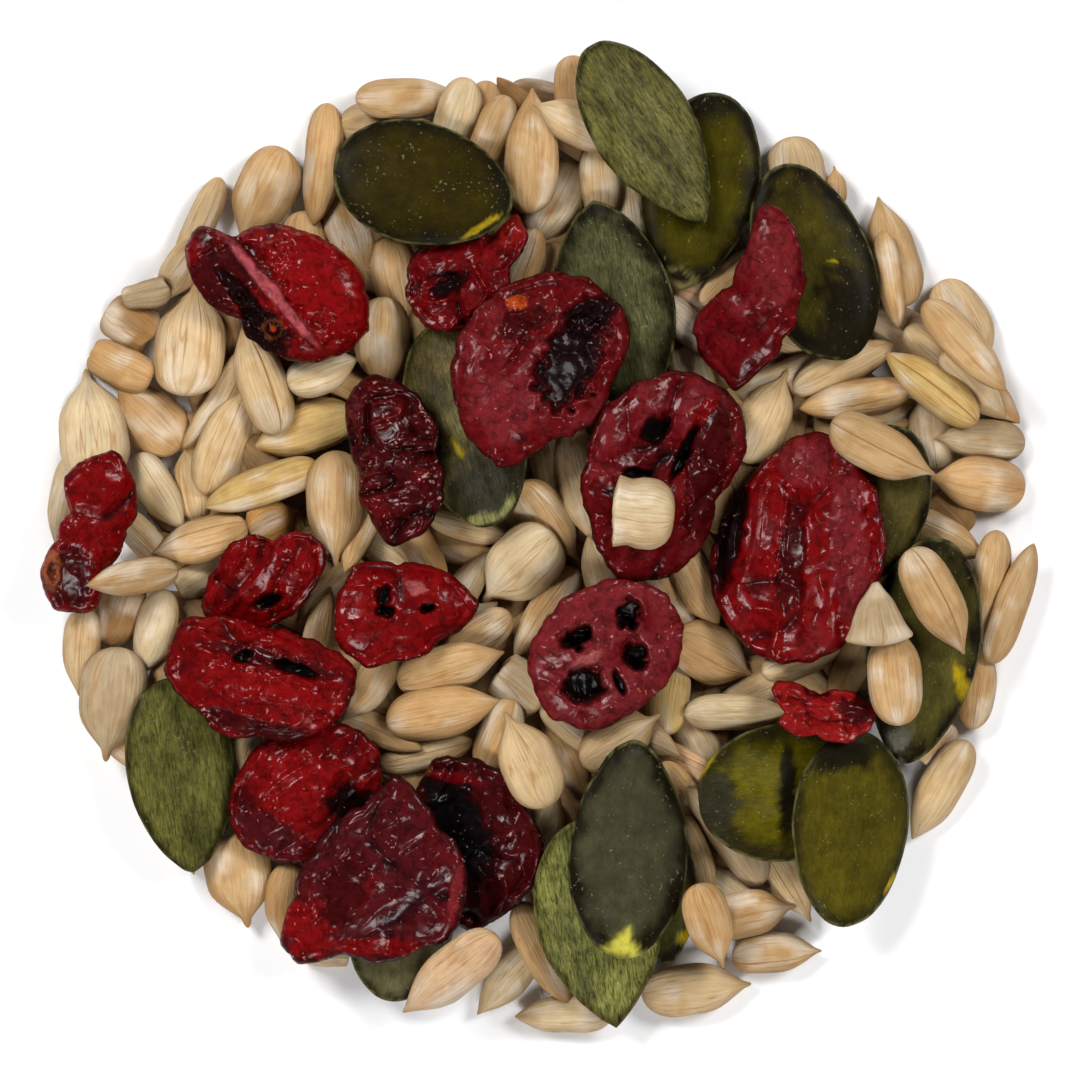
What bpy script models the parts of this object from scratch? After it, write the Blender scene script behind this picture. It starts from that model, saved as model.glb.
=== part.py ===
"""Heap of trail mix lying on a flat surface: sunflower kernels, pumpkin seeds and dried cranberries.

Lengths are in millimetres until a mesh is made, +Z is up and the origin is under the heap's middle.
Each piece has its place as seen from straight above. How high and how tilted it lies is worked out
by settling the pieces one after another on what lies below them.
"""
import math

import bmesh
import bpy
import numpy as np

MM = 0.001

# Driving dimensions of the heap
HEAP_REACH = 45.0
MOUND_REACH = 34.0
MOUND_HEIGHT = 2.8
PLATE_HEIGHT = 0.7
CORE_INSET = 1.6
EDGE_STEP = 1.5
CORE_SECTORS = 60
CORE_RINGS = (0.2, 0.42, 0.62, 0.8, 1.0)

# Driving dimensions of the pieces
KERNEL_LENGTH = 8.4
KERNEL_LEAST_WIDTH = 3.0
# Outline of a kernel: where it is widest, how blunt its end is, the neck of a wide one, the roundness of
# a slender one, the width of its nib, and the slenderness at which one shape turns into the other
KERNEL_WIDEST = 0.42
KERNEL_BLUNTNESS = 3.0
KERNEL_NECK = 1.6
KERNEL_ROUNDNESS = (3.2, 0.8)
KERNEL_NIB = 0.16
KERNEL_SLENDER = 0.3
KERNEL_STOUT = 0.5
KERNEL_STATIONS = (0.1, 0.42, 0.78)
KERNEL_SIDES = 6
# A thin chip off a kernel: its thickness, how soon it is wide, how it tapers and how wide it is
CHIP_THICKNESS = 1.6
CHIP_BASE = 0.12
CHIP_TAPER = 0.8
CHIP_FULLNESS = 1.1
# A pumpkin seed: its thickness, where it is widest, how blunt its end is and how it tapers to the other end
SEED_THICKNESS = 2.3
SEED_WIDEST = 0.45
SEED_BLUNTNESS = 1.9
SEED_TAPER = 1.8
POINTED = 0.85
ROUNDED = 0.48
BLUNT = 0.62
SEED_POINTS = 18
SEED_INSET = 0.74
BERRY_SPOKES = 16
BERRY_RINGS = ((0.45, 1), (0.84, 1), (1.0, 0), (0.84, -1))
GAP = 0.3
SINK = 0.6
LEAST_BITE = 0.3

# The grid of heights on which the pieces settle
CELL = 0.25
SPAN = 56.0
CELLS = int(2 * SPAN / CELL)

# Kernels: blunt end x, y, pointed end x, y, width, and which ends show: b, t, both or none, or x if the
# kernel is broken and c if it is a chip
LOW_KERNELS = (
    (-39.4, 20.9, -34.9, 18.2, 4.4, "x"), (-21.5, 29.9, -21.2, 22.0, 4.6, "b"),
    (-1.0, 40.6, 3.6, 39.4, 2.8, ""), (0.8, 36.5, -3.9, 41.9, 3.0, "t"),
    (1.6, 37.2, 5.0, 35.0, 3.0, ""), (8.0, 31.5, 8.4, 27.0, 2.0, ""),
    (-4.6, 41.6, -6.5, 34.0, 3.6, "b"), (-18.3, 37.4, -9.6, 38.0, 4.6, ""),
    (-32.6, 8.3, -38.6, 14.3, 5.6, "bt"), (-31.0, 1.6, -32.2, 8.9, 3.4, "bt"),
    (-28.0, 21.0, -27.0, 15.8, 3.0, ""), (-25.4, 4.4, -26.6, 1.0, 2.4, ""),
    (-18.5, 14.6, -15.5, 13.0, 3.0, ""), (1.2, 5.2, 4.8, 0.0, 2.2, ""),
    (0.2, 8.5, 0.9, 4.5, 2.4, ""), (11.6, 22.9, 17.0, 21.3, 3.6, ""),
    (15.8, 22.3, 19.5, 25.8, 3.0, ""), (22.0, 18.6, 27.0, 16.6, 2.6, ""),
    (17.8, 13.2, 26.0, 16.8, 3.2, "bt"), (27.0, 10.6, 34.6, 12.6, 3.4, "bt"),
    (39.2, 15.0, 43.6, 10.6, 2.6, "t"), (31.0, 19.8, 36.0, 17.4, 4.2, ""),
    (35.0, 17.6, 37.6, 15.4, 2.2, ""), (35.4, 4.2, 39.0, 0.8, 3.4, "x"),
    (34.0, 1.6, 39.4, -1.0, 3.6, ""), (-41.9, 8.0, -43.9, -0.8, 3.6, "bt"),
    (-17.3, -3.0, -20.7, -6.6, 3.0, ""), (-14.9, -0.4, -11.8, -2.6, 2.6, ""),
    (-9.9, 0.5, -4.4, -1.7, 3.4, ""), (-14.6, -20.4, -5.8, -18.2, 3.0, "bt"),
    (-16.6, -16.6, -12.4, -18.3, 2.8, ""), (-8.6, -9.0, -5.8, -7.0, 2.0, ""),
    (10.2, -2.2, 13.6, -7.6, 3.0, ""), (0.5, -15.2, 4.3, -23.6, 3.4, "bt"),
    (2.4, -16.4, 4.4, -18.0, 2.0, ""), (13.3, -16.4, 15.8, -20.9, 3.6, ""),
    (11.0, -19.6, 15.6, -21.7, 3.4, ""), (18.4, -14.4, 21.4, -13.0, 2.2, ""),
    (23.6, -12.4, 25.8, -14.2, 2.2, ""), (37.3, -16.6, 34.2, -20.3, 3.4, "x"),
    (39.2, -17.2, 40.0, -9.5, 3.2, "b"), (-22.0, -37.3, -17.0, -37.6, 2.8, "x"),
    (-33.6, -23.5, -31.4, -30.4, 3.4, "t"), (-39.4, -17.8, -33.5, -21.4, 3.0, "b"),
    (-32.6, -8.6, -35.0, -14.2, 3.0, ""), (-26.0, -17.4, -27.0, -20.6, 2.6, ""),
    (-0.8, -37.4, -5.7, -43.1, 3.6, "t"), (6.6, -43.0, -2.3, -43.3, 3.4, "bt"),
    (17.4, -37.9, 25.6, -37.3, 3.7, "bt"), (12.3, -22.0, 14.6, -25.0, 2.6, ""),
    (21.4, -29.2, 24.6, -34.7, 4.0, "t"), (15.2, -30.2, 18.6, -32.4, 2.4, ""),
    (26.9, 30.2, 26.7, 34.0, 1.9, "bt"),
)
MIDDLE_KERNELS = (
    (-23.3, 35.6, -27.4, 26.8, 5.4, "bt"), (-29.0, 32.9, -33.2, 24.2, 2.8, "bt"),
    (-30.6, 27.0, -34.7, 21.3, 3.6, "bt"), (-37.9, 21.9, -33.4, 22.9, 2.6, "x"),
    (-16.7, 39.9, -7.4, 40.6, 3.8, "bt"), (-2.9, 40.1, -6.0, 33.0, 3.3, "b"),
    (3.0, 34.4, -1.2, 26.2, 5.0, "bt"), (5.2, 35.5, 5.9, 28.0, 3.8, ""),
    (-17.9, 29.8, -15.6, 23.4, 4.3, "t"), (-13.6, 26.8, -12.2, 20.0, 4.4, ""),
    (-0.7, 27.0, -2.6, 21.5, 2.6, ""), (2.9, 44.0, 3.6, 36.5, 4.0, "b"),
    (22.6, 36.6, 24.3, 29.0, 5.1, "b"), (33.3, 21.2, 30.7, 31.2, 4.4, "bt"),
    (31.0, 28.0, 32.5, 19.2, 2.3, "bt"), (-26.8, 17.0, -32.4, 8.3, 2.8, "bt"),
    (-16.8, 11.4, -26.4, 8.2, 4.6, "bt"), (-36.7, 7.8, -32.3, 0.9, 3.6, "b"),
    (-26.3, 0.6, -21.8, 2.8, 4.2, "bt"), (-15.5, 2.4, -17.6, -3.0, 3.0, "t"),
    (-22.9, 14.1, -16.0, 16.6, 3.8, "bt"), (-14.2, 22.0, -14.0, 13.0, 4.8, "bt"),
    (-9.8, 2.3, -2.4, 0.4, 2.8, ""), (-1.9, 5.1, 3.5, -1.9, 4.3, "bt"),
    (2.7, 9.9, 5.4, -0.8, 4.6, "bt"), (14.8, 11.5, 13.0, 17.9, 4.0, "x"),
    (12.2, 20.3, 14.6, 18.0, 2.4, ""), (36.0, 6.3, 35.3, 13.0, 4.6, "b"),
    (44.1, 8.8, 36.0, 9.2, 3.9, "b"), (36.4, 16.5, 42.0, 11.2, 2.0, ""),
    (36.3, 23.5, 41.0, 15.4, 4.6, "bt"), (-37.0, 1.1, -34.0, -1.9, 2.6, ""),
    (-32.9, -4.6, -28.3, -2.2, 3.4, "x"), (-39.3, -9.6, -37.6, -4.7, 4.4, "b"),
    (-33.9, -4.5, -36.0, -11.6, 3.8, "b"), (-41.2, -6.0, -41.9, -14.2, 3.5, "bt"),
    (-20.0, -9.5, -19.0, -4.7, 3.0, "t"), (-11.6, 0.9, -9.3, -3.4, 2.6, ""),
    (-7.3, -5.6, -4.7, -1.1, 2.8, "t"), (3.3, -2.5, -2.3, -10.7, 3.4, "bt"),
    (-2.6, -6.7, -7.6, -10.0, 3.5, "b"), (-14.7, -11.0, -17.9, -16.4, 3.4, "t"),
    (-3.9, -11.6, 0.2, -14.9, 4.8, "x"), (-3.0, -15.9, -5.0, -20.6, 3.6, ""),
    (6.4, -6.2, 4.3, 0.4, 3.0, "t"), (13.0, -1.4, 16.3, -8.1, 3.6, "t"),
    (11.2, -17.7, 12.3, -11.4, 3.8, "b"), (6.4, -15.8, 12.7, -19.5, 2.8, "t"),
    (3.8, -20.3, 8.4, -17.3, 4.4, "b"), (20.1, -12.0, 27.8, -9.4, 3.2, ""),
    (41.4, 0.9, 39.9, -9.6, 3.4, "bt"), (30.4, 0.8, 31.0, -5.0, 2.4, ""),
    (29.4, -9.3, 26.7, -14.9, 3.4, ""), (38.8, -18.2, 33.8, -27.2, 4.0, "bt"),
    (-27.6, -26.6, -26.5, -35.2, 6.0, "bt"), (-22.6, -29.2, -23.4, -37.0, 3.8, "bt"),
    (-2.0, -32.8, 2.7, -42.1, 3.6, "bt"), (1.0, -23.4, -0.5, -31.0, 3.2, "bt"),
    (16.8, -34.4, 23.3, -33.2, 4.4, "t"), (9.2, -41.2, 19.2, -40.3, 4.6, "bt"),
    (20.2, -31.3, 13.2, -22.3, 4.0, "bt"), (13.2, -26.6, 14.9, -31.0, 3.0, ""),
)
TOP_KERNELS = (
    (-19.3, 39.7, -20.5, 28.5, 3.5, "bt"), (-6.5, 41.8, -9.4, 33.5, 4.0, "bt"),
    (-1.0, 29.5, -0.7, 40.8, 4.8, "bt"), (6.5, 36.0, -0.7, 39.4, 3.8, "bt"),
    (-32.3, 13.0, -31.2, 23.6, 6.8, "bt"), (-35.2, 14.5, -41.0, 17.2, 3.8, "x"),
    (-40.0, 5.0, -41.3, 15.6, 6.3, "bt"), (-30.3, 4.0, -26.4, 14.2, 4.6, "bt"),
    (-23.6, 9.6, -26.9, 19.6, 4.4, "bt"), (-20.0, 6.7, -30.4, 3.0, 3.7, "bt"),
    (-26.4, 1.3, -35.3, -1.2, 3.9, "bt"), (-18.4, 8.1, -18.4, -2.3, 5.2, "bt"),
    (18.6, 7.0, 22.4, 15.4, 5.0, "bt"), (22.9, 13.6, 32.3, 17.8, 3.4, "bt"),
    (33.6, 13.6, 23.5, 11.9, 3.3, "bt"), (39.5, 10.6, 31.2, 16.9, 3.8, "bt"),
    (44.1, 4.6, 34.9, 5.7, 5.0, "bt"), (34.7, 21.5, 41.9, 13.4, 3.7, "bt"),
    (-38.0, -9.7, -39.4, -20.1, 6.2, "bt"),
    (1.3, 0.6, -5.2, -5.6, 6.2, "bt"), (-12.9, -12.9, -3.2, -10.1, 4.3, "bt"),
    (-13.9, -16.5, -3.4, -14.5, 4.6, "bt"), (12.2, -8.6, 19.4, -12.4, 5.4, "bt"),
    (13.0, -15.6, 22.4, -15.6, 3.4, "bt"), (40.8, -11.2, 44.8, -0.3, 3.2, "bt"),
)
# Kernels that lie partly or wholly on other toppings, each a node of its own
LOOSE_KERNELS = {
    "kernel_over_right_seed": (26.2, 10.6, 35.6, 5.9, 4.8, "bt"),
    "kernel_over_dark_cranberry": (0.8, -24.0, -3.2, -15.4, 5.2, "bt"),
    "kernel_over_bottom_seed": (-3.8, -35.4, -12.4, -42.7, 4.8, "bt"),
    "kernel_over_hidden_seed": (14.0, -30.9, 16.6, -38.7, 4.4, "bt"),
    "kernel_over_left_cranberry": (-32.7, -2.7, -40.8, -4.1, 3.2, "bt"),
    "kernel_on_cranberry": (6.2, 2.6, 12.0, 2.0, 6.2, "x"),
    "kernel_on_seed_lower": (32.3, -16.7, 31.4, -6.6, 5.1, "bt"),
    "kernel_on_seed_upper": (33.1, -0.8, 38.2, -10.3, 4.7, "bt"),
    "kernel_chip": (30.6, -9.5, 30.1, -3.5, 6.6, "c"),
}

# Pumpkin seeds: name, blunt end x, y, other end x, y, width, and how pointed the other end is
PUMPKIN_SEEDS = {
    "top_right_lower": (16.4, 40.6, 12.3, 22.6, 10.7, BLUNT),
    "top_right_upper": (4.6, 44.6, 14.9, 28.5, 9.4, POINTED),
    "top_middle": (8.2, 12.5, 4.8, 30.6, 11.0, BLUNT),
    "middle_left": (-8.9, 20.0, -4.3, 1.2, 10.8, ROUNDED),
    "top_left": (-18.6, 34.3, -2.6, 30.0, 11.2, ROUNDED),
    "right_upper": (27.7, 16.3, 21.6, 33.9, 10.8, ROUNDED),
    "right_middle": (32.4, 10.4, 29.5, -3.5, 8.5, ROUNDED),
    "left_lower": (-33.6, -12.4, -31.3, -30.0, 9.8, BLUNT),
    "bottom_left": (-13.6, -41.8, -11.4, -24.5, 9.8, POINTED),
    "bottom_hidden": (8.1, -22.0, 11.8, -38.4, 8.2, BLUNT),
    "bottom_lower": (4.0, -25.0, 6.9, -44.2, 11.8, POINTED),
    "bottom_upper": (7.4, -37.6, 8.5, -17.8, 10.8, BLUNT),
    "lower_right_lower": (14.2, -23.5, 31.0, -22.0, 12.4, ROUNDED),
    "lower_right_upper": (28.6, -17.2, 27.4, -34.9, 10.7, ROUNDED),
    "right_rim": (36.0, 0.2, 33.0, -20.3, 10.4, BLUNT),
}

# Cranberries: name, middle, thickness, depth of the hollow on top, and the outline read round the piece
CRANBERRIES = {
    "folded": ((-22.8, 22.4), 4.4, 0.0, (
        (-30.9, 28.6), (-32.0, 26.1), (-30.9, 22.4), (-27.0, 19.9), (-22.9, 16.2), (-18.0, 16.6),
        (-15.5, 19.0), (-15.5, 22.2), (-17.6, 25.9), (-20.8, 27.8), (-27.5, 27.2))),
    "crumpled": ((-6.9, 23.4), 3.8, 0.6, (
        (-11.9, 21.7), (-11.1, 26.1), (-4.2, 27.3), (-2.2, 30.0), (-1.1, 27.3), (-2.8, 24.5),
        (-3.0, 21.0), (-6.8, 19.0), (-10.4, 19.2))),
    "strip_right": ((19.0, 20.6), 3.2, 0.0, (
        (19.9, 30.5), (22.2, 29.0), (23.6, 25.3), (23.2, 21.2), (21.8, 18.0), (19.5, 15.0),
        (17.5, 13.4), (15.6, 15.5), (13.7, 18.4), (14.4, 20.4), (17.4, 22.8), (18.6, 26.0))),
    "left_rim": ((-40.4, 0.6), 3.8, 0.0, (
        (-38.6, 8.2), (-36.6, 6.0), (-36.3, 3.2), (-37.4, 0.8), (-39.3, -2.7), (-40.2, -6.5),
        (-43.6, -6.5), (-45.0, -2.5), (-43.4, 0.0), (-42.3, 2.5), (-42.8, 5.5), (-40.4, 7.5))),
    "oval_dark": ((-12.8, 7.2), 4.4, 0.0, (
        (-15.2, 15.0), (-17.3, 12.9), (-17.1, 9.3), (-16.2, 6.1), (-15.5, 2.2), (-13.2, -0.6),
        (-10.2, 0.6), (-8.7, 4.2), (-9.3, 7.9), (-10.2, 12.0), (-12.5, 14.3))),
    "cup": ((0.4, 15.6), 3.8, 1.6, (
        (3.4, 23.9), (7.9, 19.9), (8.2, 17.8), (6.3, 14.2), (5.4, 11.3), (0.8, 8.8), (-3.8, 6.5),
        (-6.1, 8.8), (-7.7, 12.7), (-6.5, 19.4), (-1.9, 23.3))),
    "twin_hollow": ((11.4, 5.6), 3.8, 1.0, (
        (11.5, 15.1), (7.0, 13.0), (4.2, 7.0), (4.8, 0.5), (7.0, -3.8), (9.0, -3.8), (13.5, -2.0),
        (15.7, 3.5), (17.5, 5.5), (18.7, 9.0), (18.0, 12.0), (14.0, 15.0))),
    "big_oval": ((22.9, -0.8), 4.4, 0.3, (
        (25.0, 9.8), (20.0, 7.0), (17.5, 3.0), (15.6, -1.0), (15.5, -4.0), (17.0, -8.0),
        (22.0, -11.2), (26.0, -10.3), (30.0, -4.5), (30.5, 2.8), (28.0, 8.0))),
    "square_left": ((-24.6, -3.4), 3.4, 0.2, (
        (-27.8, -0.1), (-24.0, 0.0), (-20.4, 0.6), (-19.2, -0.4), (-20.8, -4.7), (-23.3, -7.0), (-30.5, -6.6),
        (-29.1, -2.4))),
    "heart": ((-12.8, -6.4), 3.6, 0.6, (
        (-18.3, -6.0), (-16.5, -2.2), (-12.8, -2.4), (-8.0, -3.2), (-5.4, -5.8), (-9.0, -9.0),
        (-13.0, -11.0), (-16.0, -11.2), (-18.0, -9.5))),
    "lower_left": ((-21.2, -22.6), 4.2, 0.0, (
        (-28.2, -24.8), (-26.6, -19.8), (-21.7, -17.5), (-17.8, -16.6), (-14.6, -18.9),
        (-15.5, -25.0), (-23.3, -29.2), (-26.6, -27.8))),
    "wide_left": ((-25.2, -12.2), 4.0, 0.4, (
        (-33.9, -11.6), (-32.3, -7.3), (-28.0, -7.0), (-25.2, -7.9), (-21.6, -8.8), (-19.0, -9.6),
        (-16.2, -11.8), (-17.8, -15.8), (-25.5, -17.6), (-28.0, -17.8), (-31.0, -15.2))),
    "near_black": ((-5.8, -27.4), 3.4, 0.0, (
        (-9.7, -19.7), (-6.5, -19.8), (-3.8, -20.5), (-1.9, -23.2), (-0.4, -25.5), (-0.6, -30.8),
        (-3.3, -34.0), (-6.5, -35.4), (-10.5, -31.0), (-11.5, -24.0))),
    "trapezoid": ((-14.2, -30.6), 3.4, 0.0, (
        (-13.0, -21.0), (-9.2, -25.8), (-7.3, -27.5), (-6.5, -32.0), (-8.0, -36.0), (-10.4, -36.6),
        (-18.0, -37.4), (-21.8, -38.3), (-23.6, -36.5), (-22.0, -32.2), (-20.5, -28.0), (-16.0, -24.0))),
    "ring": ((6.0, -10.2), 2.8, 0.0, (
        (-1.2, -11.0), (1.0, -6.5), (3.5, -4.5), (8.5, -3.7), (11.8, -5.2), (13.0, -8.0),
        (12.2, -11.5), (8.5, -15.3), (5.5, -17.0), (1.5, -16.3))),
    "torn_strip": ((25.4, -15.6), 2.0, 0.0, (
        (20.7, -13.5), (21.4, -12.7), (24.1, -13.3), (25.2, -13.7), (27.0, -13.6), (29.3, -14.4),
        (30.1, -15.1), (29.9, -16.9), (28.4, -17.8), (24.8, -17.6), (22.7, -17.3), (21.4, -16.4),
        (22.1, -15.5))),
}
# Seed chambers cut through the ring: middle x, y and the two diameters
RING_HOLES = ((8.0, -6.7, 2.4, 2.7), (3.3, -8.8, 2.4, 2.2), (8.6, -10.4, 2.4, 2.6), (4.0, -13.1, 3.4, 3.3))

# The order in which seeds and cranberries come to lie, lowest first
TOPPING_ORDER = (
    "top_right_lower", "top_right_upper", "top_middle", "middle_left", "crumpled", "oval_dark", "cup",
    "top_left", "right_upper", "strip_right", "twin_hollow", "right_middle", "right_rim", "big_oval",
    "folded", "left_rim", "square_left", "heart", "left_lower", "lower_left", "wide_left", "near_black",
    "bottom_left", "trapezoid", "ring", "bottom_hidden", "bottom_lower", "bottom_upper",
    "lower_right_lower", "lower_right_upper", "torn_strip",
)

# Colour and roughness of each kind
KERNEL_LOOK = ((0.62, 0.47, 0.30), 0.6)
SEED_LOOK = ((0.06, 0.07, 0.03), 0.5)
BERRY_LOOK = ((0.20, 0.01, 0.02), 0.35)


class Piece:
    """One piece of the mix: a plan shape round a middle, with a body above and below its mid-plane."""

    def __init__(self, name, place, yaw, reach, slope_limit):
        self.name = name
        self.place = place
        self.yaw = yaw
        self.reach = reach
        self.slope_limit = slope_limit
        self.height = 0.0
        self.slope = (0.0, 0.0)

    def to_local(self, x, y):
        """The piece's own coordinates of points in plan."""
        cos, sin = math.cos(self.yaw), math.sin(self.yaw)
        dx, dy = x - self.place[0], y - self.place[1]
        return dx * cos + dy * sin, dy * cos - dx * sin


class Kernel(Piece):
    """A sunflower kernel: a drop-shaped body, blunt at one end and pointed at the other."""

    def __init__(self, name, row):
        x0, y0, x1, y1, width, ends = row
        length = math.hypot(x1 - x0, y1 - y0)
        way = ((x1 - x0) / length, (y1 - y0) / length)
        hidden = 0.0 if ends in ("bt", "x", "c") else max(0.0, KERNEL_LENGTH - length)
        back = {"b": 0.0, "t": hidden}.get(ends, hidden / 2)
        ahead = hidden - back
        x0, y0 = x0 - way[0] * back, y0 - way[1] * back
        x1, y1 = x1 + way[0] * ahead, y1 + way[1] * ahead
        self.length = length + hidden
        self.width = max(width, KERNEL_LEAST_WIDTH) if hidden else width
        self.thickness = 2.0 + 0.16 * self.width
        slenderness = (self.width / self.length - KERNEL_SLENDER) / (KERNEL_STOUT - KERNEL_SLENDER)
        self.stoutness = min(max(slenderness, 0.0), 1.0)
        self.broken = ends == "x"
        self.chip = ends == "c"
        if self.chip:
            self.thickness = CHIP_THICKNESS
        middle = ((x0 + x1) / 2, (y0 + y1) / 2)
        super().__init__(name, middle, math.atan2(way[1], way[0]), self.length / 2, 0.5)

    def fullness(self, s):
        """Share of the full width at s, from 0 at the blunt end to 1 at the point."""
        if self.broken:
            return np.sqrt(np.clip(1 - np.abs(2 * s - 1) ** 3, 0, 1))
        if self.chip:
            return CHIP_FULLNESS * np.sqrt(np.clip(s / CHIP_BASE, 0, 1)) * (1 - s) ** CHIP_TAPER
        behind = np.clip((KERNEL_WIDEST - s) / KERNEL_WIDEST, 0, 1)
        blunt = np.sqrt(1 - behind ** KERNEL_BLUNTNESS)
        along = np.clip((s - KERNEL_WIDEST) / (1 - KERNEL_WIDEST), 0, 1)
        necked = 0.5 + 0.5 * np.cos(math.pi * along ** KERNEL_NECK)
        rounded = (1 - along ** KERNEL_ROUNDNESS[0]) ** KERNEL_ROUNDNESS[1]
        taper = self.stoutness * necked + (1 - self.stoutness) * rounded
        nib = KERNEL_NIB * np.sqrt(1 - along ** 8)
        return np.where(s < KERNEL_WIDEST, blunt, np.maximum(taper, nib))

    def body(self, u, v):
        """Whether each point is inside, and the body's depth below and height above the mid-plane."""
        share = self.fullness(np.clip(u / self.length + 0.5, 0, 1))
        half = np.maximum(self.width / 2 * share, 1e-6)
        inside = (np.abs(u) < self.length / 2) & (np.abs(v) < half)
        rise = self.thickness / 2 * share ** 0.7 * np.sqrt(np.clip(1 - (v / half) ** 2, 0, 1))
        return inside, rise, rise


class PumpkinSeed(Piece):
    """A hulled pumpkin seed: a flat lens with a rounded rim, pointed at one end."""

    def __init__(self, name, row):
        x0, y0, x1, y1, self.width, self.ending = row
        self.length = math.hypot(x1 - x0, y1 - y0)
        yaw = math.atan2(y1 - y0, x1 - x0)
        super().__init__(name, ((x0 + x1) / 2, (y0 + y1) / 2), yaw, self.length / 2, 0.35)

    def fullness(self, s):
        """Share of the full width at s, from 0 at the blunt end to 1 at the point."""
        behind = np.clip((SEED_WIDEST - s) / SEED_WIDEST, 0, 1)
        blunt = np.sqrt(1 - behind ** SEED_BLUNTNESS)
        along = np.clip((s - SEED_WIDEST) / (1 - SEED_WIDEST), 0, 1)
        return np.where(s < SEED_WIDEST, blunt, (1 - along ** SEED_TAPER) ** self.ending)

    def body(self, u, v):
        share = self.fullness(np.clip(u / self.length + 0.5, 0, 1))
        half = np.maximum(self.width / 2 * share, 1e-6)
        inside = (np.abs(u) < self.length / 2) & (np.abs(v) < half)
        rim = np.clip(1 - (np.abs(v) / half) ** 3.5, 0, 1) ** 0.6
        rise = SEED_THICKNESS / 2 * rim * share ** 0.45
        return inside, rise, rise


class Cranberry(Piece):
    """A dried cranberry: an uneven outline round a middle, domed above and below."""

    def __init__(self, name, row):
        middle, self.thickness, self.hollow, outline = row
        points = np.array(outline) - np.array(middle)
        angles = np.arctan2(points[:, 1], points[:, 0])
        order = np.argsort(angles)
        self.angles = angles[order]
        self.radii = np.hypot(points[:, 0], points[:, 1])[order]
        super().__init__(name, middle, 0.0, self.radii.max(), 0.35)

    def edge(self, angle):
        """How far the outline reaches in a direction."""
        return np.interp(angle, self.angles, self.radii, period=2 * math.pi)

    def rim(self, share):
        return np.clip(1 - share ** 3.2, 0, 1) ** 0.55

    def body(self, u, v):
        share = np.hypot(u, v) / self.edge(np.arctan2(v, u))
        rise = self.rim(share) * self.thickness / 2
        return share < 1, rise, rise


def cell_middles(piece):
    """The grid's cells round a piece, as a pair of slices and the plan coordinates of their middles."""
    low = [int((c - piece.reach - 1 + SPAN) / CELL) for c in piece.place]
    high = [int((c + piece.reach + 1 + SPAN) / CELL) for c in piece.place]
    box = (slice(low[0], high[0]), slice(low[1], high[1]))
    x = (np.arange(low[0], high[0]) + 0.5) * CELL - SPAN
    y = (np.arange(low[1], high[1]) + 0.5) * CELL - SPAN
    return box, np.meshgrid(x, y, indexing="ij")


def widen(heights):
    """Each cell takes the greatest height of the cells next to it."""
    padded = np.pad(heights, 1, constant_values=-1.0)
    rows, columns = heights.shape
    moves = [padded[i:i + rows, j:j + columns] for i in range(3) for j in range(3)]
    return np.max(moves, axis=0)


def lowest_lie(piece, u, v, depth, need):
    """The height and slopes at which the piece's middle lies lowest without going below what it needs."""
    best = (math.inf, 0.0, 0.0)
    step = piece.slope_limit / 4
    while step > 0.01:
        _, along, across = best
        steps = np.arange(-4, 5) * step
        slopes = np.array([(along + i, across + j) for i in steps for j in steps])
        slopes = np.clip(slopes, -piece.slope_limit, piece.slope_limit)
        lift = need[None, :] + depth[None, :] - slopes[:, :1] * u - slopes[:, 1:] * v
        heights = lift.max(axis=1)
        pick = int(heights.argmin())
        if heights[pick] < best[0]:
            best = (heights[pick], slopes[pick, 0], slopes[pick, 1])
        step /= 3
    return best


def settle(piece, fused, loose, joins):
    """Lays a piece on the grid. One that joins the core sinks into it a little, any other keeps a gap."""
    box, (x, y) = cell_middles(piece)
    u, v = piece.to_local(x, y)
    inside, depth, rise = piece.body(u, v)
    if joins:
        need = np.maximum(fused[box] - SINK, loose[box] + GAP)
    else:
        need = np.maximum(widen(fused[box]), loose[box]) + GAP
    need = np.maximum(need, 0.05)[inside]
    height, along, across = lowest_lie(piece, u[inside], v[inside], depth[inside], need)
    piece.height, piece.slope = height, (along, across)
    middle = height + along * u + across * v
    bite = np.max((fused[box] - (middle - depth))[inside])
    top = np.where(inside, middle + rise, -1.0)
    if joins:
        fused[box] = np.maximum(fused[box], top)
    else:
        loose[box] = np.maximum(loose[box], widen(top))
    return bite


def plan_reach(pieces):
    """How far the pieces reach from the middle in each of the core's directions."""
    covered = np.zeros((CELLS, CELLS), bool)
    for piece in pieces:
        box, (x, y) = cell_middles(piece)
        covered[box] |= piece.body(*piece.to_local(x, y))[0]
    steps = np.arange(HEAP_REACH, 30, -CELL)
    reaches = []
    for sector in range(CORE_SECTORS):
        angle = 2 * math.pi * sector / CORE_SECTORS
        column = ((steps * math.cos(angle) + SPAN) / CELL).astype(int)
        row = ((steps * math.sin(angle) + SPAN) / CELL).astype(int)
        hit = covered[column, row]
        reaches.append(steps[hit.argmax()] - CORE_INSET)
    return np.minimum(reaches, np.minimum(np.roll(reaches, 1), np.roll(reaches, -1)) + EDGE_STEP)


def core_height(distance):
    """Height of the core's top at a distance from its middle."""
    share = np.clip(distance / MOUND_REACH, 0, 1)
    return PLATE_HEIGHT + (MOUND_HEIGHT - PLATE_HEIGHT) * (1 - share ** 2) ** 1.2


def core_grid(reaches):
    """The core's heights on the grid."""
    middles = (np.arange(CELLS) + 0.5) * CELL - SPAN
    x, y = np.meshgrid(middles, middles, indexing="ij")
    angles = np.arange(CORE_SECTORS) * 2 * math.pi / CORE_SECTORS
    edge = np.interp(np.arctan2(y, x), angles, reaches, period=2 * math.pi)
    distance = np.hypot(x, y)
    return np.where(distance < edge, core_height(distance), 0.0)


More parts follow.
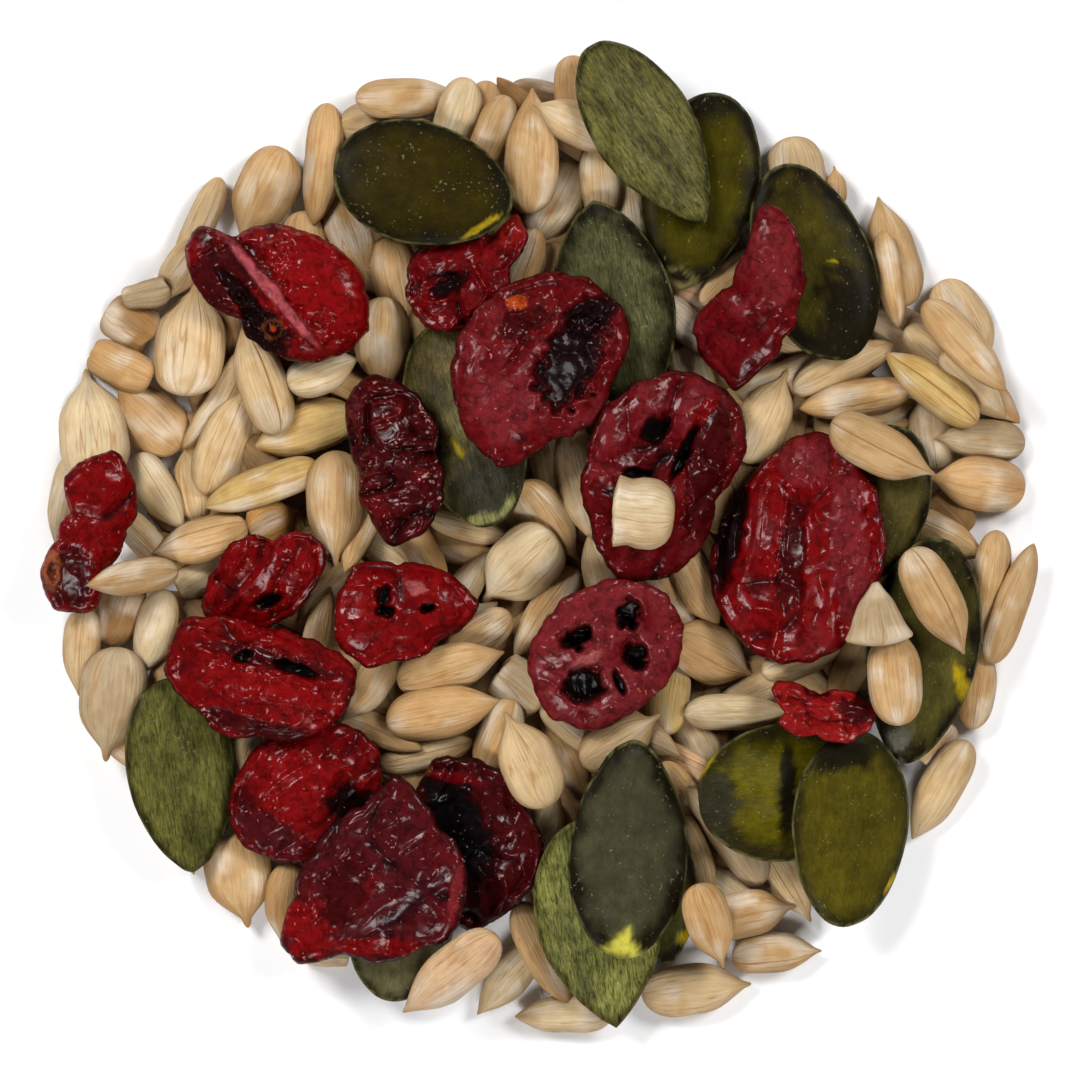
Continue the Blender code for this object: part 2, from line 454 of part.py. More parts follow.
def look(name, kind):
    colour, roughness = kind
    material = bpy.data.materials.new(name)
    material.use_nodes = True
    shader = material.node_tree.nodes["Principled BSDF"]
    shader.inputs["Base Color"].default_value = (*colour, 1.0)
    shader.inputs["Roughness"].default_value = roughness
    shader.inputs["Metallic"].default_value = 0.0
    return material


def new_object(name, bm, kind, collection):
    bmesh.ops.recalc_face_normals(bm, faces=bm.faces)
    mesh = bpy.data.meshes.new(name)
    bm.to_mesh(mesh)
    bm.free()
    mesh.materials.append(look(name, kind))
    item = bpy.data.objects.new(name, mesh)
    collection.objects.link(item)
    return item


def lay(item, piece):
    """Puts an object where its piece settled."""
    item.location = (piece.place[0] * MM, piece.place[1] * MM, piece.height * MM)
    item.rotation_euler = (0.0, 0.0, piece.yaw)
    return item


def vertex(bm, piece, u, v, w):
    """A corner at the piece's own u, v, raised by w over its sloping mid-plane."""
    return bm.verts.new((u * MM, v * MM, (w + piece.slope[0] * u + piece.slope[1] * v) * MM))


def bridge(bm, lower, upper):
    """Quads between two rings with the same number of corners."""
    count = len(lower)
    for i in range(count):
        bm.faces.new((lower[i], lower[(i + 1) % count], upper[(i + 1) % count], upper[i]))


def fan(bm, ring, middle):
    """Triangles from a ring to one corner."""
    for i, corner in enumerate(ring):
        bm.faces.new((corner, ring[(i + 1) % len(ring)], middle))


def kernel_object(piece, collection):
    bm = bmesh.new()
    rings = []
    for station in KERNEL_STATIONS:
        u = (station - 0.5) * piece.length
        half = float(piece.width / 2 * piece.fullness(station))
        ring = []
        for side in range(KERNEL_SIDES):
            angle = 2 * math.pi * side / KERNEL_SIDES
            v = half * math.cos(angle)
            rise = float(piece.body(u, v)[2])
            ring.append(vertex(bm, piece, u, v, rise * round(math.sin(angle))))
        rings.append(ring)
    for lower, upper in zip(rings, rings[1:]):
        bridge(bm, lower, upper)
    fan(bm, rings[0], vertex(bm, piece, -piece.length / 2, 0, 0))
    fan(bm, rings[-1], vertex(bm, piece, piece.length / 2, 0, 0))
    return lay(new_object(piece.name, bm, KERNEL_LOOK, collection), piece)


def seed_object(piece, collection):
    """A flat seed from its outline, with a bevelled band and a flat face above and below."""
    bm = bmesh.new()
    edge, over, under = [], [], []
    for i in range(SEED_POINTS):
        turn = 2 * math.pi * i / SEED_POINTS
        s = (1 - math.cos(turn)) / 2
        side = 1 if turn < math.pi else -1
        u = (s - 0.5) * piece.length
        v = side * float(piece.fullness(s)) * piece.width / 2
        rise = float(piece.body(u * SEED_INSET, v * SEED_INSET)[2])
        edge.append(vertex(bm, piece, u, v, 0))
        over.append(vertex(bm, piece, u * SEED_INSET, v * SEED_INSET, rise))
        under.append(vertex(bm, piece, u * SEED_INSET, v * SEED_INSET, -rise))
    bridge(bm, edge, over)
    bridge(bm, under, edge)
    fan(bm, over, vertex(bm, piece, 0, 0, SEED_THICKNESS / 2))
    fan(bm, under, vertex(bm, piece, 0, 0, -SEED_THICKNESS / 2))
    return lay(new_object(piece.name, bm, SEED_LOOK, collection), piece)


def berry_object(piece, collection):
    """A cranberry from rings round its middle, the inner ones lowered where its top is hollow."""
    bm = bmesh.new()
    rings = []
    for share, side in BERRY_RINGS:
        rise = float(piece.rim(share)) * piece.thickness / 2 * side
        hollow = piece.hollow if share == BERRY_RINGS[0][0] else 0.0
        ring = []
        for spoke in range(BERRY_SPOKES):
            angle = 2 * math.pi * spoke / BERRY_SPOKES
            reach = float(piece.edge(angle)) * share
            ring.append(vertex(bm, piece, reach * math.cos(angle), reach * math.sin(angle), rise - hollow))
        rings.append(ring)
    for lower, upper in zip(rings, rings[1:]):
        bridge(bm, lower, upper)
    fan(bm, rings[0], vertex(bm, piece, 0, 0, piece.thickness / 2 - piece.hollow))
    fan(bm, rings[-1], vertex(bm, piece, 0, 0, -piece.thickness / 2))
    return lay(new_object(piece.name, bm, BERRY_LOOK, collection), piece)


def core_object(reaches, collection):
    """The core under the kernels: a low mound on a thin plate with an uneven outline."""
    bm = bmesh.new()
    rings = []
    for share in CORE_RINGS:
        ring = []
        for sector in range(CORE_SECTORS):
            angle = 2 * math.pi * sector / CORE_SECTORS
            distance = reaches[sector] * share
            height = float(core_height(distance))
            across, up = distance * math.cos(angle), distance * math.sin(angle)
            ring.append(bm.verts.new((across * MM, up * MM, height * MM)))
        rings.append(ring)
    foot = [bm.verts.new((corner.co.x, corner.co.y, 0.0)) for corner in rings[-1]]
    for lower, upper in zip(rings, rings[1:] + [foot]):
        bridge(bm, lower, upper)
    fan(bm, rings[0], bm.verts.new((0, 0, MOUND_HEIGHT * MM)))
    bm.faces.new(foot)
    return new_object("sunflower_kernels", bm, KERNEL_LOOK, collection)


def apply_boolean(item, parts, operation, solver):
    """Joins or cuts an object with a collection, then removes the collection's objects."""
    modifier = item.modifiers.new("join", "BOOLEAN")
    modifier.operation = operation
    modifier.operand_type = "COLLECTION"
    modifier.collection = parts
    modifier.solver = solver
    shown = item.evaluated_get(bpy.context.evaluated_depsgraph_get())
    result = bpy.data.meshes.new_from_object(shown)
    item.modifiers.clear()
    item.data = result
    for part in list(parts.objects):
        bpy.data.objects.remove(part)
    bpy.data.collections.remove(parts)


def islands(bm):
    """The mesh's connected groups of corners, largest first."""
    left = set(bm.verts)
    groups = []
    while left:
        group = {left.pop()}
        front = list(group)
        while front:
            near = {edge.other_vert(corner) for corner in front for edge in corner.link_edges}
            front = list(near - group)
            group.update(front)
        left -= group
        groups.append(group)
    return sorted(groups, key=len, reverse=True)


def clean(item):
    """Drops loose scraps and collapsed faces that joining left behind."""
    bm = bmesh.new()
    bm.from_mesh(item.data)
    bmesh.ops.remove_doubles(bm, verts=bm.verts, dist=0.01 * MM)
    bmesh.ops.dissolve_degenerate(bm, edges=bm.edges, dist=0.01 * MM)
    bmesh.ops.triangulate(bm, faces=bm.faces)
    for scrap in islands(bm)[1:]:
        bmesh.ops.delete(bm, geom=list(scrap), context="VERTS")
    bm.to_mesh(item.data)
    bm.free()


def cut_ring(ring, piece, scene_collection):
    """Cuts the seed chambers through the ring-shaped slice."""
    cutters = bpy.data.collections.new("ring_cutters")
    scene_collection.children.link(cutters)
    for i, (x, y, wide, high) in enumerate(RING_HOLES):
        bm = bmesh.new()
        deep = 4 * piece.thickness * MM
        bmesh.ops.create_cone(bm, cap_ends=True, segments=7, radius1=MM / 2, radius2=MM / 2, depth=deep)
        bmesh.ops.scale(bm, verts=bm.verts, vec=(wide, high, 1))
        cutter = new_object(f"chamber_{i}", bm, BERRY_LOOK, cutters)
        cutter.location = (x * MM, y * MM, piece.height * MM)
        cutter.hide_render = True
        cutter.display_type = "WIRE"
    apply_boolean(ring, cutters, "DIFFERENCE", "EXACT")


def settle_all():
    """Settles every piece from the lowest up.

    Returns the kernels that join the core, the seeds and cranberries, the kernels that rest on
    them, and how far the core reaches in each direction.
    """
    rows = LOW_KERNELS + MIDDLE_KERNELS + TOP_KERNELS
    kernels = [Kernel(f"kernel_{i:03d}", row) for i, row in enumerate(rows)]
    toppings = []
    for name in TOPPING_ORDER:
        if name in PUMPKIN_SEEDS:
            toppings.append(PumpkinSeed("pumpkin_seed_" + name, PUMPKIN_SEEDS[name]))
        else:
            toppings.append(Cranberry("cranberry_" + name, CRANBERRIES[name]))
    resting = [Kernel(name, row) for name, row in LOOSE_KERNELS.items()]
    reaches = plan_reach(kernels + toppings + resting)
    fused = core_grid(reaches)
    loose = np.full_like(fused, -1.0)
    joined = [piece for piece in kernels if settle(piece, fused, loose, True) > LEAST_BITE]
    for piece in toppings + resting:
        settle(piece, fused, loose, False)
    return joined, toppings, resting, reaches


def main():
    for item in list(bpy.data.objects):
        bpy.data.objects.remove(item)
    scene_collection = bpy.context.scene.collection
    joined, toppings, resting, reaches = settle_all()
    core = core_object(reaches, scene_collection)
    kernels = bpy.data.collections.new("kernels_to_join")
    scene_collection.children.link(kernels)
    for piece in joined:
        kernel_object(piece, kernels)
    apply_boolean(core, kernels, "UNION", "EXACT")
    clean(core)
    for piece in toppings:
        if isinstance(piece, PumpkinSeed):
            seed_object(piece, scene_collection)
        else:
            item = berry_object(piece, scene_collection)
            if piece.name == "cranberry_ring":
                cut_ring(item, piece, scene_collection)
    for piece in resting:
        kernel_object(piece, scene_collection)


main()
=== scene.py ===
"""Heap of trail mix, dressed: every kernel, seed and cranberry lies where its CAD piece lies.

Places are millimetres in plan, read off the photographed heap. How high and how tilted each piece
lies is worked out by the rule that the solids follow: the pieces settle one after another.
"""
import functools
import math

import bmesh
import bpy
import numpy as np
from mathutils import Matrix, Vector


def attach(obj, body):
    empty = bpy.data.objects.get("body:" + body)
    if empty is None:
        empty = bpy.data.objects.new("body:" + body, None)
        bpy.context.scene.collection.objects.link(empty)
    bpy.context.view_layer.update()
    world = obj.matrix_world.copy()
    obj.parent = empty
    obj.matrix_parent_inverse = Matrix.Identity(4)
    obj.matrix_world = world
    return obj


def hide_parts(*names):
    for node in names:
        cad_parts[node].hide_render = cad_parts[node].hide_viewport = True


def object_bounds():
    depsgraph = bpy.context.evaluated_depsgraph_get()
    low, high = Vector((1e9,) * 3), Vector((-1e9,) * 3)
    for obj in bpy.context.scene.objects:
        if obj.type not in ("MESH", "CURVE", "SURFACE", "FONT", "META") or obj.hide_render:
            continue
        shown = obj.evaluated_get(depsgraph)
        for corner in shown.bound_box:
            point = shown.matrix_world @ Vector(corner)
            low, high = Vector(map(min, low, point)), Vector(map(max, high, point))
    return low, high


bl_info = {
    "name": "Trail mix heap",
    "version": (1, 0, 0),
    "blender": (4, 5, 0),
    "location": "View3D > Sidebar > Trail mix",
    "description": "Builds a heap of sunflower kernels, pumpkin seeds and dried cranberries",
    "category": "Add Mesh",
}

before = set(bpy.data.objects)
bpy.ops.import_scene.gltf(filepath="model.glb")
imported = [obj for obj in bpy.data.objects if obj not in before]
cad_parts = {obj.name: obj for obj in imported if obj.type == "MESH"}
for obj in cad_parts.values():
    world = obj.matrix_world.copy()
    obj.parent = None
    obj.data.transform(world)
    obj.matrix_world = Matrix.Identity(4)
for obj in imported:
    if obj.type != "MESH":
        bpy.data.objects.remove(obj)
CAD_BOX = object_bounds()
MM = 0.001

# The heap and the grid on which its pieces settle, as in the solids
HEAP_REACH = 45.0
HEAP_LEAST_REACH = 30.0
MOUND_REACH = 34.0
MOUND_HEIGHT = 2.8
PLATE_HEIGHT = 0.7
CORE_INSET = 1.6
EDGE_STEP = 1.5
CORE_SECTORS = 60
KERNEL_LENGTH = 8.4
KERNEL_LEAST_WIDTH = 3.0
# A kernel's thickness: what each has, and how much it grows with the width
KERNEL_THICKNESS = (2.0, 0.16)
# Outline of a kernel: where it is widest, how blunt its end is, the neck of a wide one, the roundness of
# a slender one, the width of its nib, and the slenderness at which one shape turns into the other
KERNEL_WIDEST = 0.42
KERNEL_BLUNTNESS = 3.0
KERNEL_NECK = 1.6
KERNEL_ROUNDNESS = (3.2, 0.8)
KERNEL_NIB = 0.16
KERNEL_SLENDER = 0.3
KERNEL_STOUT = 0.5
# A thin chip off a kernel: its thickness, how soon it is wide, how it tapers and how wide it is
CHIP_THICKNESS = 1.6
CHIP_BASE = 0.12
CHIP_TAPER = 0.8
CHIP_FULLNESS = 1.1
# A pumpkin seed: its thickness, where it is widest, how blunt its end is, how it tapers to the other end,
# how late and how steeply its rim falls, and how pointed the other end is
SEED_THICKNESS = 2.3
SEED_WIDEST = 0.45
SEED_BLUNTNESS = 1.9
SEED_TAPER = 1.8
SEED_RIM = (3.5, 0.6)
POINTED = 0.85
BLUNT = 0.62
ROUNDED = 0.48
# A cranberry's rim: how late and how steeply it falls
BERRY_RIM = (3.2, 0.55)
# The steepest slopes of a kernel and of a seed or cranberry
KERNEL_TILT = 0.5
TOPPING_TILT = 0.35
# How slopes are tried: steps to each side, how much finer each round is, and where it ends
SLOPE_STEPS = 4
SLOPE_REFINING = 3
FINEST_SLOPE = 0.01
# Room left round loose pieces, depth to which fused ones sink in, and least height over the floor
GAP = 0.3
SINK = 0.6
FLOOR_GAP = 0.05
CELL = 0.25
SPAN = 56.0
CELLS = int(2 * SPAN / CELL)

# Kernels: blunt end x, y, pointed end x, y, width, and which ends show: b, t, both or none, or x if the
# kernel is broken and c if it is a chip
LOW_KERNELS = (
    (-39.4, 20.9, -34.9, 18.2, 4.4, "x"), (-21.5, 29.9, -21.2, 22.0, 4.6, "b"),
    (-1.0, 40.6, 3.6, 39.4, 2.8, ""), (0.8, 36.5, -3.9, 41.9, 3.0, "t"),
    (1.6, 37.2, 5.0, 35.0, 3.0, ""), (8.0, 31.5, 8.4, 27.0, 2.0, ""),
    (-4.6, 41.6, -6.5, 34.0, 3.6, "b"), (-18.3, 37.4, -9.6, 38.0, 4.6, ""),
    (-32.6, 8.3, -38.6, 14.3, 5.6, "bt"), (-31.0, 1.6, -32.2, 8.9, 3.4, "bt"),
    (-28.0, 21.0, -27.0, 15.8, 3.0, ""), (-25.4, 4.4, -26.6, 1.0, 2.4, ""),
    (-18.5, 14.6, -15.5, 13.0, 3.0, ""), (1.2, 5.2, 4.8, 0.0, 2.2, ""),
    (0.2, 8.5, 0.9, 4.5, 2.4, ""), (11.6, 22.9, 17.0, 21.3, 3.6, ""),
    (15.8, 22.3, 19.5, 25.8, 3.0, ""), (22.0, 18.6, 27.0, 16.6, 2.6, ""),
    (17.8, 13.2, 26.0, 16.8, 3.2, "bt"), (27.0, 10.6, 34.6, 12.6, 3.4, "bt"),
    (39.2, 15.0, 43.6, 10.6, 2.6, "t"), (31.0, 19.8, 36.0, 17.4, 4.2, ""),
    (35.0, 17.6, 37.6, 15.4, 2.2, ""), (35.4, 4.2, 39.0, 0.8, 3.4, "x"),
    (34.0, 1.6, 39.4, -1.0, 3.6, ""), (-41.9, 8.0, -43.9, -0.8, 3.6, "bt"),
    (-17.3, -3.0, -20.7, -6.6, 3.0, ""), (-14.9, -0.4, -11.8, -2.6, 2.6, ""),
    (-9.9, 0.5, -4.4, -1.7, 3.4, ""), (-14.6, -20.4, -5.8, -18.2, 3.0, "bt"),
    (-16.6, -16.6, -12.4, -18.3, 2.8, ""), (-8.6, -9.0, -5.8, -7.0, 2.0, ""),
    (10.2, -2.2, 13.6, -7.6, 3.0, ""), (0.5, -15.2, 4.3, -23.6, 3.4, "bt"),
    (2.4, -16.4, 4.4, -18.0, 2.0, ""), (13.3, -16.4, 15.8, -20.9, 3.6, ""),
    (11.0, -19.6, 15.6, -21.7, 3.4, ""), (18.4, -14.4, 21.4, -13.0, 2.2, ""),
    (23.6, -12.4, 25.8, -14.2, 2.2, ""), (37.3, -16.6, 34.2, -20.3, 3.4, "x"),
    (39.2, -17.2, 40.0, -9.5, 3.2, "b"), (-22.0, -37.3, -17.0, -37.6, 2.8, "x"),
    (-33.6, -23.5, -31.4, -30.4, 3.4, "t"), (-39.4, -17.8, -33.5, -21.4, 3.0, "b"),
    (-32.6, -8.6, -35.0, -14.2, 3.0, ""), (-26.0, -17.4, -27.0, -20.6, 2.6, ""),
    (-0.8, -37.4, -5.7, -43.1, 3.6, "t"), (6.6, -43.0, -2.3, -43.3, 3.4, "bt"),
    (17.4, -37.9, 25.6, -37.3, 3.7, "bt"), (12.3, -22.0, 14.6, -25.0, 2.6, ""),
    (21.4, -29.2, 24.6, -34.7, 4.0, "t"), (15.2, -30.2, 18.6, -32.4, 2.4, ""),
    (26.9, 30.2, 26.7, 34.0, 1.9, "bt"),
)
MIDDLE_KERNELS = (
    (-23.3, 35.6, -27.4, 26.8, 5.4, "bt"), (-29.0, 32.9, -33.2, 24.2, 2.8, "bt"),
    (-30.6, 27.0, -34.7, 21.3, 3.6, "bt"), (-37.9, 21.9, -33.4, 22.9, 2.6, "x"),
    (-16.7, 39.9, -7.4, 40.6, 3.8, "bt"), (-2.9, 40.1, -6.0, 33.0, 3.3, "b"),
    (3.0, 34.4, -1.2, 26.2, 5.0, "bt"), (5.2, 35.5, 5.9, 28.0, 3.8, ""),
    (-17.9, 29.8, -15.6, 23.4, 4.3, "t"), (-13.6, 26.8, -12.2, 20.0, 4.4, ""),
    (-0.7, 27.0, -2.6, 21.5, 2.6, ""), (2.9, 44.0, 3.6, 36.5, 4.0, "b"),
    (22.6, 36.6, 24.3, 29.0, 5.1, "b"), (33.3, 21.2, 30.7, 31.2, 4.4, "bt"),
    (31.0, 28.0, 32.5, 19.2, 2.3, "bt"), (-26.8, 17.0, -32.4, 8.3, 2.8, "bt"),
    (-16.8, 11.4, -26.4, 8.2, 4.6, "bt"), (-36.7, 7.8, -32.3, 0.9, 3.6, "b"),
    (-26.3, 0.6, -21.8, 2.8, 4.2, "bt"), (-15.5, 2.4, -17.6, -3.0, 3.0, "t"),
    (-22.9, 14.1, -16.0, 16.6, 3.8, "bt"), (-14.2, 22.0, -14.0, 13.0, 4.8, "bt"),
    (-9.8, 2.3, -2.4, 0.4, 2.8, ""), (-1.9, 5.1, 3.5, -1.9, 4.3, "bt"),
    (2.7, 9.9, 5.4, -0.8, 4.6, "bt"), (14.8, 11.5, 13.0, 17.9, 4.0, "x"),
    (12.2, 20.3, 14.6, 18.0, 2.4, ""), (36.0, 6.3, 35.3, 13.0, 4.6, "b"),
    (44.1, 8.8, 36.0, 9.2, 3.9, "b"), (36.4, 16.5, 42.0, 11.2, 2.0, ""),
    (36.3, 23.5, 41.0, 15.4, 4.6, "bt"), (-37.0, 1.1, -34.0, -1.9, 2.6, ""),
    (-32.9, -4.6, -28.3, -2.2, 3.4, "x"), (-39.3, -9.6, -37.6, -4.7, 4.4, "b"),
    (-33.9, -4.5, -36.0, -11.6, 3.8, "b"), (-41.2, -6.0, -41.9, -14.2, 3.5, "bt"),
    (-20.0, -9.5, -19.0, -4.7, 3.0, "t"), (-11.6, 0.9, -9.3, -3.4, 2.6, ""),
    (-7.3, -5.6, -4.7, -1.1, 2.8, "t"), (3.3, -2.5, -2.3, -10.7, 3.4, "bt"),
    (-2.6, -6.7, -7.6, -10.0, 3.5, "b"), (-14.7, -11.0, -17.9, -16.4, 3.4, "t"),
    (-3.9, -11.6, 0.2, -14.9, 4.8, "x"), (-3.0, -15.9, -5.0, -20.6, 3.6, ""),
    (6.4, -6.2, 4.3, 0.4, 3.0, "t"), (13.0, -1.4, 16.3, -8.1, 3.6, "t"),
    (11.2, -17.7, 12.3, -11.4, 3.8, "b"), (6.4, -15.8, 12.7, -19.5, 2.8, "t"),
    (3.8, -20.3, 8.4, -17.3, 4.4, "b"), (20.1, -12.0, 27.8, -9.4, 3.2, ""),
    (41.4, 0.9, 39.9, -9.6, 3.4, "bt"), (30.4, 0.8, 31.0, -5.0, 2.4, ""),
    (29.4, -9.3, 26.7, -14.9, 3.4, ""), (38.8, -18.2, 33.8, -27.2, 4.0, "bt"),
    (-27.6, -26.6, -26.5, -35.2, 6.0, "bt"), (-22.6, -29.2, -23.4, -37.0, 3.8, "bt"),
    (-2.0, -32.8, 2.7, -42.1, 3.6, "bt"), (1.0, -23.4, -0.5, -31.0, 3.2, "bt"),
    (16.8, -34.4, 23.3, -33.2, 4.4, "t"), (9.2, -41.2, 19.2, -40.3, 4.6, "bt"),
    (20.2, -31.3, 13.2, -22.3, 4.0, "bt"), (13.2, -26.6, 14.9, -31.0, 3.0, ""),
)
TOP_KERNELS = (
    (-19.3, 39.7, -20.5, 28.5, 3.5, "bt"), (-6.5, 41.8, -9.4, 33.5, 4.0, "bt"),
    (-1.0, 29.5, -0.7, 40.8, 4.8, "bt"), (6.5, 36.0, -0.7, 39.4, 3.8, "bt"),
    (-32.3, 13.0, -31.2, 23.6, 6.8, "bt"), (-35.2, 14.5, -41.0, 17.2, 3.8, "x"),
    (-40.0, 5.0, -41.3, 15.6, 6.3, "bt"), (-30.3, 4.0, -26.4, 14.2, 4.6, "bt"),
    (-23.6, 9.6, -26.9, 19.6, 4.4, "bt"), (-20.0, 6.7, -30.4, 3.0, 3.7, "bt"),
    (-26.4, 1.3, -35.3, -1.2, 3.9, "bt"), (-18.4, 8.1, -18.4, -2.3, 5.2, "bt"),
    (18.6, 7.0, 22.4, 15.4, 5.0, "bt"), (22.9, 13.6, 32.3, 17.8, 3.4, "bt"),
    (33.6, 13.6, 23.5, 11.9, 3.3, "bt"), (39.5, 10.6, 31.2, 16.9, 3.8, "bt"),
    (44.1, 4.6, 34.9, 5.7, 5.0, "bt"), (34.7, 21.5, 41.9, 13.4, 3.7, "bt"),
    (-38.0, -9.7, -39.4, -20.1, 6.2, "bt"),
    (1.3, 0.6, -5.2, -5.6, 6.2, "bt"), (-12.9, -12.9, -3.2, -10.1, 4.3, "bt"),
    (-13.9, -16.5, -3.4, -14.5, 4.6, "bt"), (12.2, -8.6, 19.4, -12.4, 5.4, "bt"),
    (13.0, -15.6, 22.4, -15.6, 3.4, "bt"), (40.8, -11.2, 44.8, -0.3, 3.2, "bt"),
)
# Kernels that lie partly or wholly on other toppings, each a node of its own
LOOSE_KERNELS = {
    "kernel_over_right_seed": (26.2, 10.6, 35.6, 5.9, 4.8, "bt"),
    "kernel_over_dark_cranberry": (0.8, -24.0, -3.2, -15.4, 5.2, "bt"),
    "kernel_over_bottom_seed": (-3.8, -35.4, -12.4, -42.7, 4.8, "bt"),
    "kernel_over_hidden_seed": (14.0, -30.9, 16.6, -38.7, 4.4, "bt"),
    "kernel_over_left_cranberry": (-32.7, -2.7, -40.8, -4.1, 3.2, "bt"),
    "kernel_on_cranberry": (6.2, 2.6, 12.0, 2.0, 6.2, "x"),
    "kernel_on_seed_lower": (32.3, -16.7, 31.4, -6.6, 5.1, "bt"),
    "kernel_on_seed_upper": (33.1, -0.8, 38.2, -10.3, 4.7, "bt"),
    "kernel_chip": (30.6, -9.5, 30.1, -3.5, 6.6, "c"),
}

# Pumpkin seeds: name, blunt end x, y, other end x, y, width, and how pointed the other end is
PUMPKIN_SEEDS = {
    "top_right_lower": (16.4, 40.6, 12.3, 22.6, 10.7, BLUNT),
    "top_right_upper": (4.6, 44.6, 14.9, 28.5, 9.4, POINTED),
    "top_middle": (8.2, 12.5, 4.8, 30.6, 11.0, BLUNT),
    "middle_left": (-8.9, 20.0, -4.3, 1.2, 10.8, ROUNDED),
    "top_left": (-18.6, 34.3, -2.6, 30.0, 11.2, ROUNDED),
    "right_upper": (27.7, 16.3, 21.6, 33.9, 10.8, ROUNDED),
    "right_middle": (32.4, 10.4, 29.5, -3.5, 8.5, ROUNDED),
    "left_lower": (-33.6, -12.4, -31.3, -30.0, 9.8, BLUNT),
    "bottom_left": (-13.6, -41.8, -11.4, -24.5, 9.8, POINTED),
    "bottom_hidden": (8.1, -22.0, 11.8, -38.4, 8.2, BLUNT),
    "bottom_lower": (4.0, -25.0, 6.9, -44.2, 11.8, POINTED),
    "bottom_upper": (7.4, -37.6, 8.5, -17.8, 10.8, BLUNT),
    "lower_right_lower": (14.2, -23.5, 31.0, -22.0, 12.4, ROUNDED),
    "lower_right_upper": (28.6, -17.2, 27.4, -34.9, 10.7, ROUNDED),
    "right_rim": (36.0, 0.2, 33.0, -20.3, 10.4, BLUNT),
}

